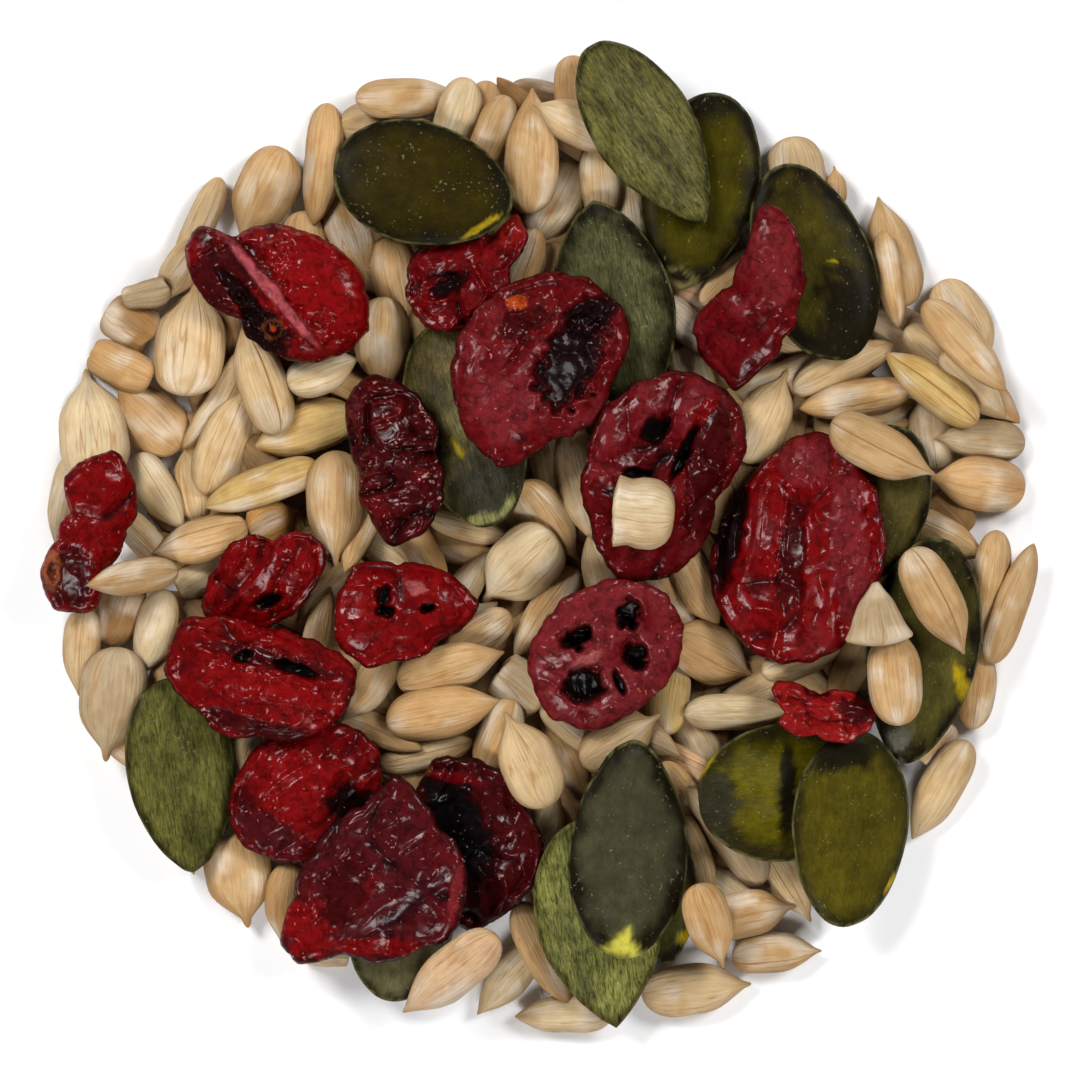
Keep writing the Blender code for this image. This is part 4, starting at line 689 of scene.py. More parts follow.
@functools.lru_cache(maxsize=1)
def settled():
    """Every piece at its settled height: the heaped kernels, the seeds and cranberries, the loose kernels."""
    rows = LOW_KERNELS + MIDDLE_KERNELS + TOP_KERNELS
    kernels = [Kernel(f"kernel_{i:03d}", row) for i, row in enumerate(rows)]
    toppings = []
    for name in TOPPING_ORDER:
        if name in PUMPKIN_SEEDS:
            toppings.append(PumpkinSeed("pumpkin_seed_" + name, PUMPKIN_SEEDS[name]))
        else:
            toppings.append(Cranberry("cranberry_" + name, CRANBERRIES[name]))
    resting = [Kernel(name, row) for name, row in LOOSE_KERNELS.items()]
    fused = core_grid(plan_reach(kernels + toppings + resting))
    loose = np.full_like(fused, -1.0)
    for piece in kernels:
        settle(piece, fused, loose, True)
    for piece in toppings + resting:
        settle(piece, fused, loose, False)
    return kernels, toppings, resting


def to_linear(colour):
    """Linear RGBA of an sRGB hex colour."""
    channels = [int(colour[i:i + 2], 16) / 255 for i in (1, 3, 5)]
    return (*[c / 12.92 if c <= 0.04045 else ((c + 0.055) / 1.055) ** 2.4 for c in channels], 1.0)


def waves(x, y, seed):
    """Smooth random heights from -1 to 1 at plan points, about one hill or dip to each unit."""
    table = np.random.default_rng(seed).uniform(-1, 1, (WAVE_TABLE, WAVE_TABLE))
    i, j = np.floor(x).astype(int), np.floor(y).astype(int)
    s, t = x - i, y - j
    s, t = s * s * (3 - 2 * s), t * t * (3 - 2 * t)
    i, j = i % WAVE_TABLE, j % WAVE_TABLE
    next_i, next_j = (i + 1) % WAVE_TABLE, (j + 1) % WAVE_TABLE
    near = table[i, j] * (1 - s) + table[next_i, j] * s
    far = table[i, next_j] * (1 - s) + table[next_i, next_j] * s
    return near * (1 - t) + far * t


def blend_tint(colours, tint, share, last=None):
    """Mixes a colour into an array of colours by a share of each, and a value into their last channel."""
    share = np.clip(share, 0, 1)[..., None]
    mixed = colours * (1 - share) + np.array(to_linear(tint)) * share
    mixed[..., 3] = colours[..., 3]
    if last is not None:
        mixed[..., 3] = colours[..., 3] * (1 - share[..., 0]) + last * share[..., 0]
    return mixed


def along_across(x, y, turn, length, width):
    """Coordinates along and across a direction in degrees, each in its own unit."""
    cos, sin = math.cos(math.radians(turn)), math.sin(math.radians(turn))
    return (x * cos + y * sin) / length, (y * cos - x * sin) / width


def sharp_waves(x, y, seed, steepness):
    """Random heights that rise to 1 from sharp lines of 0."""
    return np.clip(steepness * np.abs(waves(x, y, seed)), 0, 1)


def crumpled(u, v, turn, width, stretch, seed):
    """Heights from 0 to 1 of a shrunken skin: broad lobes between creases, with two sizes of sharp ridges."""
    along, across = along_across(u, v, turn, width * stretch, width)
    bend = 0.6 * waves(along * 0.7 + 30, across * 0.7 + 30, seed)
    lobes = sharp_waves(along + bend + 20, across + bend + 20, seed + 1, 2.2)
    ridges = 1 - sharp_waves(1.7 * along + bend + 11, 1.7 * across - bend + 11, seed + 2, 2.2)
    wrinkles = 1 - sharp_waves(3.4 * along + 7, 3.4 * across + bend + 7, seed + 3, 2)
    return 0.64 * lobes ** 0.8 + 0.28 * ridges ** 1.2 + 0.08 * wrinkles


def patch_share(x, y, patch, seed):
    """How strongly a patch shows at plan points, from 1 in its middle to 0 outside a ragged edge."""
    px, py, length, width, turn, _, colour = patch
    ragged = 0.3 * min(length, width)
    dx = ragged * (waves(x * 1.4, y * 1.4, seed) + 0.3 * waves(x * 4, y * 4, seed + 2))
    dy = ragged * (waves(x * 1.4, y * 1.4, seed + 1) + 0.3 * waves(x * 4, y * 4, seed + 3))
    along, across = along_across(x - px + dx, y - py + dy, turn, length, width)
    # A chipped place is a triangle, any other patch is oval
    far = np.maximum(2 * np.abs(across) + along, -along) if colour == "chip" else along ** 2 + across ** 2
    return 1 / (1 + np.exp(np.clip((far - 1) * PATCH_SHARPNESS, -30, 30)))


def skin_faces(rows, columns, start):
    """Faces of a closed skin: a first pole, rows of corners round it, and a pole at the far end."""
    grid = start + 1 + np.arange(rows * columns).reshape(rows, columns)
    turned = np.roll(grid, -1, axis=1)
    quads = np.stack([grid[:-1], grid[1:], turned[1:], turned[:-1]], axis=-1).reshape(-1, 4)
    first = np.stack([np.full(columns, start), grid[0], turned[0]], axis=-1)
    last = np.stack([np.full(columns, start + 1 + rows * columns), turned[-1], grid[-1]], axis=-1)
    return quads.tolist() + first.tolist() + last.tolist()


def kernel_grid(rows, sides):
    """How far along a kernel, and in which direction round it, each corner of its skin lies."""
    s = (1 - np.cos(np.linspace(0, math.pi, rows + 2))) / 2
    return np.meshgrid(s, np.arange(sides) * 2 * math.pi / sides, indexing="ij")


def topping_grid(over, under, spokes):
    """Share of the way out to the rim, side (1 above, -1 below) and direction of each corner of a skin."""
    side = np.concatenate([np.ones(len(over)), -np.ones(len(under))])
    turn = np.arange(spokes) * 2 * math.pi / spokes
    share, turn = np.meshgrid(np.concatenate([over, under]), turn, indexing="ij")
    return share, np.broadcast_to(side[:, None], share.shape), turn


def with_poles(rows):
    """A skin's values in the order of its corners: a first row, the rows between and a last row."""
    flat = rows[1:-1].reshape(-1, *rows.shape[2:])
    return np.concatenate([rows[:1, 0], flat, rows[-1:, 0]])


def new_object(name, data):
    """An object in the scene, of a mesh, a light or a camera."""
    item = bpy.data.objects.new(name, data)
    bpy.context.scene.collection.objects.link(item)
    return item


def finished_mesh(name, bm):
    """The mesh that an editing mesh has become."""
    mesh = bpy.data.meshes.new(name)
    bm.to_mesh(mesh)
    bm.free()
    return mesh


def skin_object(name, corners, faces, material, attributes):
    """A smooth closed mesh with named values at its corners."""
    mesh = bpy.data.meshes.new(name)
    mesh.from_pydata(corners, [], faces)
    mesh.shade_smooth()
    for key, values in attributes.items():
        if values.shape[1] == 4:
            layer = mesh.attributes.new(key, "FLOAT_COLOR", "POINT")
            layer.data.foreach_set("color", values.astype(np.float32).ravel())
        else:
            layer = mesh.attributes.new(key, "FLOAT_VECTOR", "POINT")
            layer.data.foreach_set("vector", values.astype(np.float32).ravel())
    mesh.materials.append(material)
    return new_object(name, mesh)


def topping_object(piece, u, v, w, tint, material, number):
    """The finished skin of a seed or cranberry, from the coordinates and colours of its rows of corners."""
    values = {"tint": tint, "grain": np.stack([u + 20 * number, v, w], axis=-1)}
    corners = piece.to_heap(*[with_poles(part) for part in (u, v, w)])
    faces = skin_faces(u.shape[0] - 2, u.shape[1], 0)
    return skin_object("detailed_" + piece.name, corners, faces, material,
                       {key: with_poles(value) for key, value in values.items()})


def plain_tint(colour, shape, last):
    """An array of one colour, with a value in its last channel."""
    tint = np.broadcast_to(to_linear(colour), (*shape, 4)).copy()
    tint[..., 3] = last
    return tint


def hand_over(item, node):
    """Lets a finished piece ride on the heap in place of its CAD node."""
    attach(item, "root")
    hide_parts(node)


def kernel_skin(piece, number):
    """Corners and values of one kernel's skin, with a bend, a slight unevenness and its own tint."""
    rng = np.random.default_rng(number)
    s, turn = kernel_grid(KERNEL_ROWS, KERNEL_SIDES)
    full = piece.fullness(s) ** (0.6 if piece.broken else 1)
    if piece.key in KERNEL_CUTS:
        full = piece.fullness(np.maximum(s, 0.3)) ** 0.7 * np.clip(s / 0.1, 0, 1) ** 0.6
    flutes = rng.uniform(-0.06, 0.06, KERNEL_SIDES)
    uneven = 1 + 0.05 * waves(np.cos(turn) * 1.3 + 9, s * 4 + np.sin(turn), number) + flutes * full
    bend = KERNEL_BENDS.get(piece.key, rng.uniform(-0.18, 0.18))
    across = full * piece.width / 2 * np.cos(turn) * uneven
    u = (s - 0.5) * piece.length
    v = across + bend * (1 - (2 * s - 1) ** 2)
    w = -piece.thickness / 2 * full ** 0.7 * np.sin(turn) * uneven
    if piece.broken or piece.chip:
        jagged = 0.17 * waves(v * 1.3 + 9, w * 1.3 + 9, number + 1)
        end = -1 if piece.key in KERNEL_CUTS else 1
        cut = rng.uniform(0.4, 0.46) if end > 0 else 0.44
        u = end * np.minimum(end * u, piece.length * cut + rng.uniform(-0.2, 0.2) * v + jagged)
        w = w * (0.86 + 0.14 * waves(u * 0.8 + 9, v * 0.8 + 9, number + 2))
        v = v * (1 + 0.1 * waves(u * 0.9 + 9, u * 0 + 0.5, number + 3))
    tone = KERNEL_TONES.get(piece.key) or str(rng.choice(COMMON_TONES))
    tint = np.broadcast_to(np.array(to_linear(KERNEL_TINTS[tone])) * rng.uniform(1.02, 1.22), (*s.shape, 4))
    papery = 2 * waves(u * 0.45 + 9, np.cos(turn) * 1.8 + 9, number + 4) - 0.4
    tint = blend_tint(tint, KERNEL_TINTS["white"], 0.75 * np.clip(papery, 0, 1))
    stained = 1.5 * waves(u * 0.3 + 19, np.cos(turn) * 1.1 + 9, number + 5) - 0.4
    tint = blend_tint(tint, KERNEL_TINTS["brown"], 0.35 * np.clip(stained, 0, 1))
    # Both side rims darken towards brown: painted shade where the skin turns away from the light
    tint = blend_tint(tint, KERNEL_TINTS["brown"], 0.4 * np.clip(np.abs(np.cos(turn)) * 3 - 2, 0, 1))
    seam_side = KERNEL_SEAMS.get(piece.key, rng.uniform(-0.5, 0.5))
    seam_strength = 0.9 if piece.key in KERNEL_SEAMS else max(0.0, rng.uniform(-0.5, 0.5))
    offset = rng.uniform(0, 400)
    values = {
        "tint": tint,
        "grain": np.stack([u + offset, np.cos(turn) + offset, -np.sin(turn)], axis=-1),
        "lie": np.stack([s, np.cos(turn) - seam_side, np.full_like(s, seam_strength)], axis=-1),
    }
    corners = piece.to_heap(*[with_poles(part) for part in (u, v, w)])
    return corners, {key: with_poles(value) for key, value in values.items()}


def kernels_object(name, pieces, material, first_number):
    """One mesh of several kernels."""
    corners, faces, values = [], [], []
    count = KERNEL_ROWS * KERNEL_SIDES + 2
    for i, piece in enumerate(pieces):
        points, attributes = kernel_skin(piece, first_number + i)
        corners.append(points)
        values.append(attributes)
        faces += skin_faces(KERNEL_ROWS, KERNEL_SIDES, i * count)
    joined = {key: np.concatenate([each[key] for each in values]) for key in values[0]}
    return skin_object(name, np.concatenate(corners), faces, material, joined)


def seed_object(piece, look, material, number):
    """A pumpkin seed's skin: rings from the middle of the top round the rim to the middle below."""
    middle, rim, band, veined, patches = look
    over = np.sin(np.linspace(0, math.pi / 2, SEED_RINGS + 1)) ** 0.9
    under = np.sin(np.linspace(math.pi / 2, 0, UNDER_RINGS + 1))[1:]
    share, side, turn = topping_grid(over, under, SEED_SPOKES)
    s = (1 - np.cos(turn)) / 2
    ragged = 1 + 0.012 * waves(np.cos(turn) * 4 + 8, np.sin(turn) * 4 + 8, number)
    edge_u = (s - 0.5) * piece.length
    edge_v = np.sign(np.sin(turn) + 1e-9) * piece.fullness(s) * piece.width / 2
    u, v = edge_u * share * ragged, edge_v * share * ragged
    rise = piece.body(edge_u * share, edge_v * share)[2]
    # A groove runs just inside the rim
    rise = np.where(share > RIM, 0, rise) * (1 - 0.10 * np.exp(-((share - 0.93) / 0.025) ** 2))
    rise = rise - 0.05 * (1 + waves(u * 0.5 + 9, v * 0.9 + 9, number)) * (1 - share ** 4)
    flakes = crumpled(u, v, 0, 1.5, 2.5, number + 9)
    rise = rise - 0.22 * veined * (1 - flakes) * (1 - share ** 6)
    w = rise * side
    x, y = (axis.reshape(share.shape) for axis in (piece.to_heap(u, v, w) / MM).T[:2])
    tint = plain_tint(middle, share.shape, veined)
    shade = waves(u * 0.35 + 5, v * 0.5 + 5, number + 7)
    tint[..., :3] *= (1 + 0.22 * shade + veined * np.clip(0.9 * (flakes - 0.55), -0.6, 0.3))[..., None]
    cloud = 0.3 * waves(u * 0.5 + 9, v * 0.5 + 9, number + 4) + 0.2 * waves(u * 1.5, v * 1.5, number + 3)
    rim_share = np.clip(1.3 * ((share - (1 - band)) / band + cloud), 0, 1) ** 1.5
    tint = blend_tint(tint, SKIN_TINTS[rim], rim_share)
    # The cut edge of the seed coat is a pale line 0.2 mm wide, broken here and there
    fringe = np.clip((share - 0.962) / 0.02, 0, 1) * np.clip(0.5 + waves(u * 2.5, v * 2.5, number + 6), 0, 1)
    tint = blend_tint(tint, SKIN_TINTS["flake"], np.where(side > 0, 0.65 * fringe, 0))
    for i, patch in enumerate(patches):
        shown = patch_share(x, y, patch, number + 11 * i)
        tint = blend_tint(tint, SKIN_TINTS[patch[6]], shown)
        w = w + np.where(side > 0, patch[5] * shown, 0)
    return topping_object(piece, u, v, w, tint, material, number)


def smooth_reach(piece, turn, number):
    """How far a cranberry reaches in each direction: its rounded outline, and how ragged its edge is."""
    fine = np.linspace(-math.pi, math.pi, EDGE_STEPS, endpoint=False)
    window = np.hanning(2 * EDGE_SMOOTHING + 1)
    padded = np.pad(piece.edge(fine), EDGE_SMOOTHING, mode="wrap")
    reach = np.convolve(padded, window / window.sum(), mode="valid")
    reach = np.interp(turn, fine, reach, period=2 * math.pi)
    x, y = reach * np.cos(turn), reach * np.sin(turn)
    ragged = 0.24 * waves(x * 0.8, y * 0.8, number) + 0.07 * waves(x * 1.7, y * 1.7, number + 1)
    return reach, ragged + 0.05 * waves(x * 4, y * 4, number + 2)


def berry_object(piece, look, material, number):
    """A cranberry's skin: creased where it dried, with its hollows, folds and patches of colour, painted
    shade in its creases, hollows and rim, and painted highlight on its ridges.
    """
    crease_shade_tint, skin_tint, ridge_highlight_tint, folds, stretch, width, depth, patches = look
    over = np.linspace(0, 1, BERRY_RINGS + 1) ** 0.85
    under = np.linspace(1, 0, UNDER_RINGS + 1)[1:]
    share, side, turn = topping_grid(over, under, BERRY_SPOKES)
    reach, ragged = smooth_reach(piece, turn, number)
    reach = share * reach + share ** 6 * ragged
    u, v = reach * np.cos(turn), reach * np.sin(turn)
    x, y = u + piece.place[0], v + piece.place[1]
    fold = crumpled(u, v, folds, width, stretch, number + 3)
    rise = piece.rim(share) * piece.thickness / 2
    fade = np.clip((1 - share) * 7, 0.3, 1)
    w = (rise - depth * 1.5 * (1 - fold) * fade * np.clip(rise, 0, 1)) * side
    tint = plain_tint(SKIN_TINTS[skin_tint], share.shape, MOIST)
    cloud = waves(u * 0.6 + 7, v * 0.6 + 7, number + 5)
    dusty = DUSTY if ridge_highlight_tint == "dusty" else MOIST
    # Ridges take the ridge colour: painted highlight on the ridges, which on dusty ridges is also dust
    tint = blend_tint(tint, SKIN_TINTS[ridge_highlight_tint], (fold - 0.62) * 2.4 + 0.5 * cloud, dusty)
    # Creases and the outermost rim take the crease colour: painted shade in the creases and where the skin
    # turns under at the rim
    tint = blend_tint(tint, SKIN_TINTS[crease_shade_tint], (0.36 - fold) * 3 - 0.4 * cloud)
    tint = blend_tint(tint, SKIN_TINTS[crease_shade_tint], (share - 0.93) * 9)
    for i, patch in enumerate(patches):
        shown = patch_share(x, y, patch, number + 11 * i)
        gloss = PATCH_GLOSS.get(patch[6], MOIST)
        tint = blend_tint(tint, SKIN_TINTS[patch[6]], shown, gloss)
        w = w + np.where((side > 0) & (share < RIM), patch[5] * shown * np.clip(rise, 0, 1), 0)
    # No hollow goes through the skin below
    w = np.where(side > 0, np.maximum(w, -0.8 * rise), w)
    return topping_object(piece, u, v, w, tint, material, number)


def add_node(tree, kind, links=None, **settings):
    """Adds a node. The links give its inputs a socket or a value, the settings are its own properties."""
    node = tree.nodes.new(kind)
    for name, value in settings.items():
        setattr(node, name, value)
    for key, value in (links or {}).items():
        if isinstance(value, bpy.types.NodeSocket):
            tree.links.new(value, node.inputs[key])
        else:
            node.inputs[key].default_value = value
    return node


def set_ramp(node, stops):
    """Gives a ramp its stops, as pairs of place and linear RGBA."""
    ramp = node.color_ramp
    while len(ramp.elements) < len(stops):
        ramp.elements.new(1.0)
    for element, (place, colour) in zip(ramp.elements, stops):
        element.position = place
        element.color = colour


def empty_material(name):
    material = bpy.data.materials.new(name)
    material.use_nodes = True
    material.node_tree.nodes.clear()
    return material, material.node_tree


def grey(value):
    return (value, value, value, 1.0)


def spread(value, ends, new_ends):
    """Inputs of a node that maps a value from one pair of ends to another."""
    low, high = ends
    new_low, new_high = new_ends
    return {"Value": value, "From Min": low, "From Max": high, "To Min": new_low, "To Max": new_high}


def stretched_noise(tree, grain, stretch, **looks):
    """Noise that changes by its own factor along each axis of the grain."""
    lie = add_node(tree, "ShaderNodeMapping", {"Vector": grain, "Scale": stretch}).outputs[0]
    return add_node(tree, "ShaderNodeTexNoise", {"Vector": lie, "Scale": 1.0, **looks}).outputs["Fac"]


def ramped(tree, colour, value, stops, share):
    """Multiplies a colour by the ramp of a value, by a share."""
    ramp = add_node(tree, "ShaderNodeValToRGB", {"Fac": value})
    set_ramp(ramp, stops)
    inputs = {0: share, 6: colour, 7: ramp.outputs[0]}
    return add_node(tree, "ShaderNodeMix", inputs, data_type="RGBA", blend_type="MULTIPLY").outputs[2]


def line_share(tree, value, ends, strength):
    """How strongly a line shows: fully where the value is next to 0, and less towards the second end."""
    off_line = add_node(tree, "ShaderNodeMath", {0: value}, operation="ABSOLUTE").outputs[0]
    return add_node(tree, "ShaderNodeMapRange", spread(off_line, ends, (strength, 0.0))).outputs[0]


def specked(tree, colour, tint, specks, groups, lift, share):
    """Lays specks of a tint on a colour where their noise passes a limit that depends on their groups."""
    shape = add_node(tree, "ShaderNodeTexNoise", specks).outputs["Fac"]
    place = add_node(tree, "ShaderNodeTexNoise", groups).outputs["Fac"]
    limit = add_node(tree, "ShaderNodeMapRange", spread(place, *lift)).outputs[0]
    passed = add_node(tree, "ShaderNodeMath", {0: shape, 1: limit}, operation="SUBTRACT").outputs[0]
    shown = add_node(tree, "ShaderNodeMapRange", spread(passed, *share)).outputs[0]
    inputs = {0: shown, 6: colour, 7: to_linear(tint)}
    return add_node(tree, "ShaderNodeMix", inputs, data_type="RGBA").outputs[2]


@functools.lru_cache(maxsize=1)
def kernel_material():
    """Sunflower kernel, hulled: a dry satin seed coat with fine pale and tan streaks from end to end."""
    material, tree = empty_material("dry_sunflower_kernel_coat")
    tint = add_node(tree, "ShaderNodeAttribute", attribute_name="tint").outputs["Color"]
    grain = add_node(tree, "ShaderNodeAttribute", attribute_name="grain").outputs["Vector"]
    lie = add_node(tree, "ShaderNodeAttribute", attribute_name="lie").outputs["Vector"]
    parts = add_node(tree, "ShaderNodeSeparateXYZ", {0: lie}).outputs
    # Streaks are 0.15 to 0.3 mm wide and some 3 mm long
    streaks = stretched_noise(tree, grain, (0.28, 8.5, 8.5), Detail=6.0, Roughness=0.7)
    stops = ((0.34, (0.6, 0.5, 0.38, 1)), (0.48, (0.9, 0.88, 0.84, 1)), (0.62, grey(1.04)))
    streaked = ramped(tree, tint, streaks, stops, 0.68)
    # Blotches of grey and ochre skin are about 3 mm across
    blotches = stretched_noise(tree, grain, (0.35, 0.9, 0.9), Detail=2.0)
    stops = ((0.36, (0.80, 0.70, 0.54, 1)), (0.5, grey(1.0)), (0.68, (0.86, 0.86, 0.84, 1)))
    blotched = ramped(tree, streaked, blotches, stops, 0.7)
    # Creases from end to end: ochre lines 0.05 to 0.1 mm wide, some seven round a kernel
    creases = stretched_noise(tree, grain, (0.05, 1.9, 1.9), Detail=1.5)
    off_middle = add_node(tree, "ShaderNodeMath", {0: creases, 1: 0.5}, operation="SUBTRACT").outputs[0]
    crease = line_share(tree, off_middle, (0.003, 0.014), 0.55)
    lined = add_node(tree, "ShaderNodeMix", {
        0: crease, 6: blotched, 7: to_linear(KERNEL_TINTS["line"])}, data_type="RGBA").outputs[2]
    # Both ends are ochre over the last half millimetre
    tip_ramp = add_node(tree, "ShaderNodeValToRGB", {"Fac": parts[0]})
    set_ramp(tip_ramp, ((0.0, grey(0.35)), (0.05, grey(0.0)), (0.86, grey(0.0)), (1.0, grey(0.6))))
    tipped = add_node(tree, "ShaderNodeMix", {
        0: tip_ramp.outputs[0], 6: lined, 7: to_linear(KERNEL_TINTS["tip"])}, data_type="RGBA").outputs[2]
    # The seam between the two halves is a line 0.1 mm wide
    seam = line_share(tree, parts[1], (0.01, 0.045), 1.0)
    seam_share = add_node(tree, "ShaderNodeMath", {0: seam, 1: parts[2]}, operation="MULTIPLY").outputs[0]
    coloured = add_node(tree, "ShaderNodeMix", {
        0: seam_share, 6: tipped, 7: to_linear(KERNEL_TINTS["seam"])}, data_type="RGBA")
    relief = add_node(tree, "ShaderNodeMath", {0: streaks, 1: seam_share}, operation="SUBTRACT").outputs[0]
    bump = add_node(tree, "ShaderNodeBump", {"Height": relief, "Strength": 0.8, "Distance": 0.28 * MM})
    rough = add_node(tree, "ShaderNodeMapRange", {"Value": blotches, "To Min": 0.42, "To Max": 0.66})
    shader = add_node(tree, "ShaderNodeBsdfPrincipled", {
        "Base Color": coloured.outputs[2], "Roughness": rough.outputs[0], "Normal": bump.outputs[0],
        "IOR": 1.45, "Specular IOR Level": 0.3,
        "Subsurface Weight": 0.12, "Subsurface Radius": (1.0, 0.6, 0.3), "Subsurface Scale": MM})
    add_node(tree, "ShaderNodeOutputMaterial", {"Surface": shader.outputs[0]})
    return material


@functools.lru_cache(maxsize=1)
def seed_material():
    """Pumpkin seed, hulled: a thin satin skin with faint wrinkles along it and pale dust on it."""
    material, tree = empty_material("hulled_pumpkin_seed_skin")
    skin = add_node(tree, "ShaderNodeAttribute", attribute_name="tint").outputs
    grain = add_node(tree, "ShaderNodeAttribute", attribute_name="grain").outputs["Vector"]
    # Wrinkles are 0.2 mm wide and 1 mm long, as strong as the tint's last channel says
    veins = stretched_noise(tree, grain, (0.95, 5.2, 1.5), Detail=6.0, Roughness=0.7, Distortion=0.6)
    stops = ((0.38, grey(0.28)), (0.48, grey(0.85)), (0.6, grey(1.4)))
    veined = ramped(tree, skin["Color"], veins, stops, skin["Alpha"])
    # Mottling of the skin is 1 mm across and breaks up into grains of 0.1 mm
    mottling = add_node(tree, "ShaderNodeTexNoise", {
        "Vector": grain, "Scale": 0.8, "Detail": 9.0, "Roughness": 0.75}).outputs["Fac"]
    stops = ((0.32, grey(0.45)), (0.5, grey(0.9)), (0.66, grey(1.3)))
    mottled = ramped(tree, veined, mottling, stops, 0.7)
    # Dust: pale specks of 0.1 to 0.3 mm, in scattered groups
    specks = {"Vector": grain, "Scale": 3.4, "Detail": 1.0}
    groups = {"Vector": grain, "Scale": 0.35, "Detail": 2.0}
    dusted = specked(tree, mottled, SKIN_TINTS["scar"], specks, groups,
                     ((0.4, 0.7), (0.04, -0.06)), ((0.69, 0.77), (0.0, 0.38)))
    relief = add_node(tree, "ShaderNodeMath", {
        0: veins, 1: skin["Alpha"], 2: mottling}, operation="MULTIPLY_ADD").outputs[0]
    bump = add_node(tree, "ShaderNodeBump", {"Height": relief, "Strength": 0.8, "Distance": 0.25 * MM})
    shader = add_node(tree, "ShaderNodeBsdfPrincipled", {
        "Base Color": dusted, "Roughness": 0.5, "Normal": bump.outputs[0], "IOR": 1.45,
        "Specular IOR Level": 0.04, "Coat Weight": 0.05, "Coat Roughness": 0.3, "Coat IOR": 1.4})
    add_node(tree, "ShaderNodeOutputMaterial", {"Surface": shader.outputs[0]})
    return material


@functools.lru_cache(maxsize=1)
def berry_material():
    """Dried cranberry: leathery skin, moist and slightly glossy, finely wrinkled, with pale specks."""
    material, tree = empty_material("dried_cranberry_skin")
    skin = add_node(tree, "ShaderNodeAttribute", attribute_name="tint").outputs
    grain = add_node(tree, "ShaderNodeAttribute", attribute_name="grain").outputs["Vector"]
    # Mottling and fine wrinkles are 0.5 mm across
    wrinkles = add_node(tree, "ShaderNodeTexNoise", {
        "Vector": grain, "Scale": 1.2, "Detail": 8.0, "Roughness": 0.62, "Distortion": 0.8}).outputs["Fac"]
    stops = ((0.34, grey(0.3)), (0.5, grey(0.85)), (0.66, grey(1.2)))
    mottled = ramped(tree, skin["Color"], wrinkles, stops, 0.85)
    # Specks: sugar and dust of 0.1 to 0.4 mm with ragged edges, in scattered groups
    specks = {"Vector": grain, "Scale": 2.2, "Detail": 2.0, "Distortion": 0.5}
    groups = {"Vector": grain, "Scale": 0.4, "Detail": 3.0}
    sugared = specked(tree, mottled, SKIN_TINTS["pale_pink"], specks, groups,
                      ((0.4, 0.65), (0.06, -0.06)), ((0.68, 0.74), (0.0, 0.55)))
    bump = add_node(tree, "ShaderNodeBump", {"Height": wrinkles, "Strength": 0.8, "Distance": 0.3 * MM})
    # The moist film follows the large folds, and is broken where the skin is dusty
    film = add_node(tree, "ShaderNodeMapRange", spread(wrinkles, (0.44, 0.56), (0.03, 0.5))).outputs[0]
    coat = add_node(tree, "ShaderNodeMath", {0: film, 1: skin["Alpha"]}, operation="MULTIPLY")
    shader = add_node(tree, "ShaderNodeBsdfPrincipled", {
        "Base Color": sugared, "Roughness": 0.55, "Normal": bump.outputs[0], "IOR": 1.45,
        "Specular IOR Level": 0.05, "Coat Weight": coat.outputs[0], "Coat Roughness": 0.18, "Coat IOR": 1.42,
        "Subsurface Weight": 0.08, "Subsurface Radius": (1.0, 0.1, 0.05), "Subsurface Scale": MM})
    add_node(tree, "ShaderNodeOutputMaterial", {"Surface": shader.outputs[0]})
    return material


def floor_material(colour):
    """Matt coated board: an even pale surface with a barely visible tooth."""
    material, tree = empty_material("matt_coated_board")
    place = add_node(tree, "ShaderNodeTexCoord").outputs["Object"]
    # The tooth of the board is 0.3 mm
    tooth = add_node(tree, "ShaderNodeTexNoise", {"Vector": place, "Scale": 3300.0, "Detail": 2.0})
    bump = add_node(tree, "ShaderNodeBump", {
        "Height": tooth.outputs["Fac"], "Strength": 0.1, "Distance": 0.02 * MM})
    shader = add_node(tree, "ShaderNodeBsdfPrincipled", {
        "Base Color": colour, "Roughness": 0.9, "Normal": bump.outputs[0], "Specular IOR Level": 0.2})
    add_node(tree, "ShaderNodeOutputMaterial", {"Surface": shader.outputs[0]})
    return material


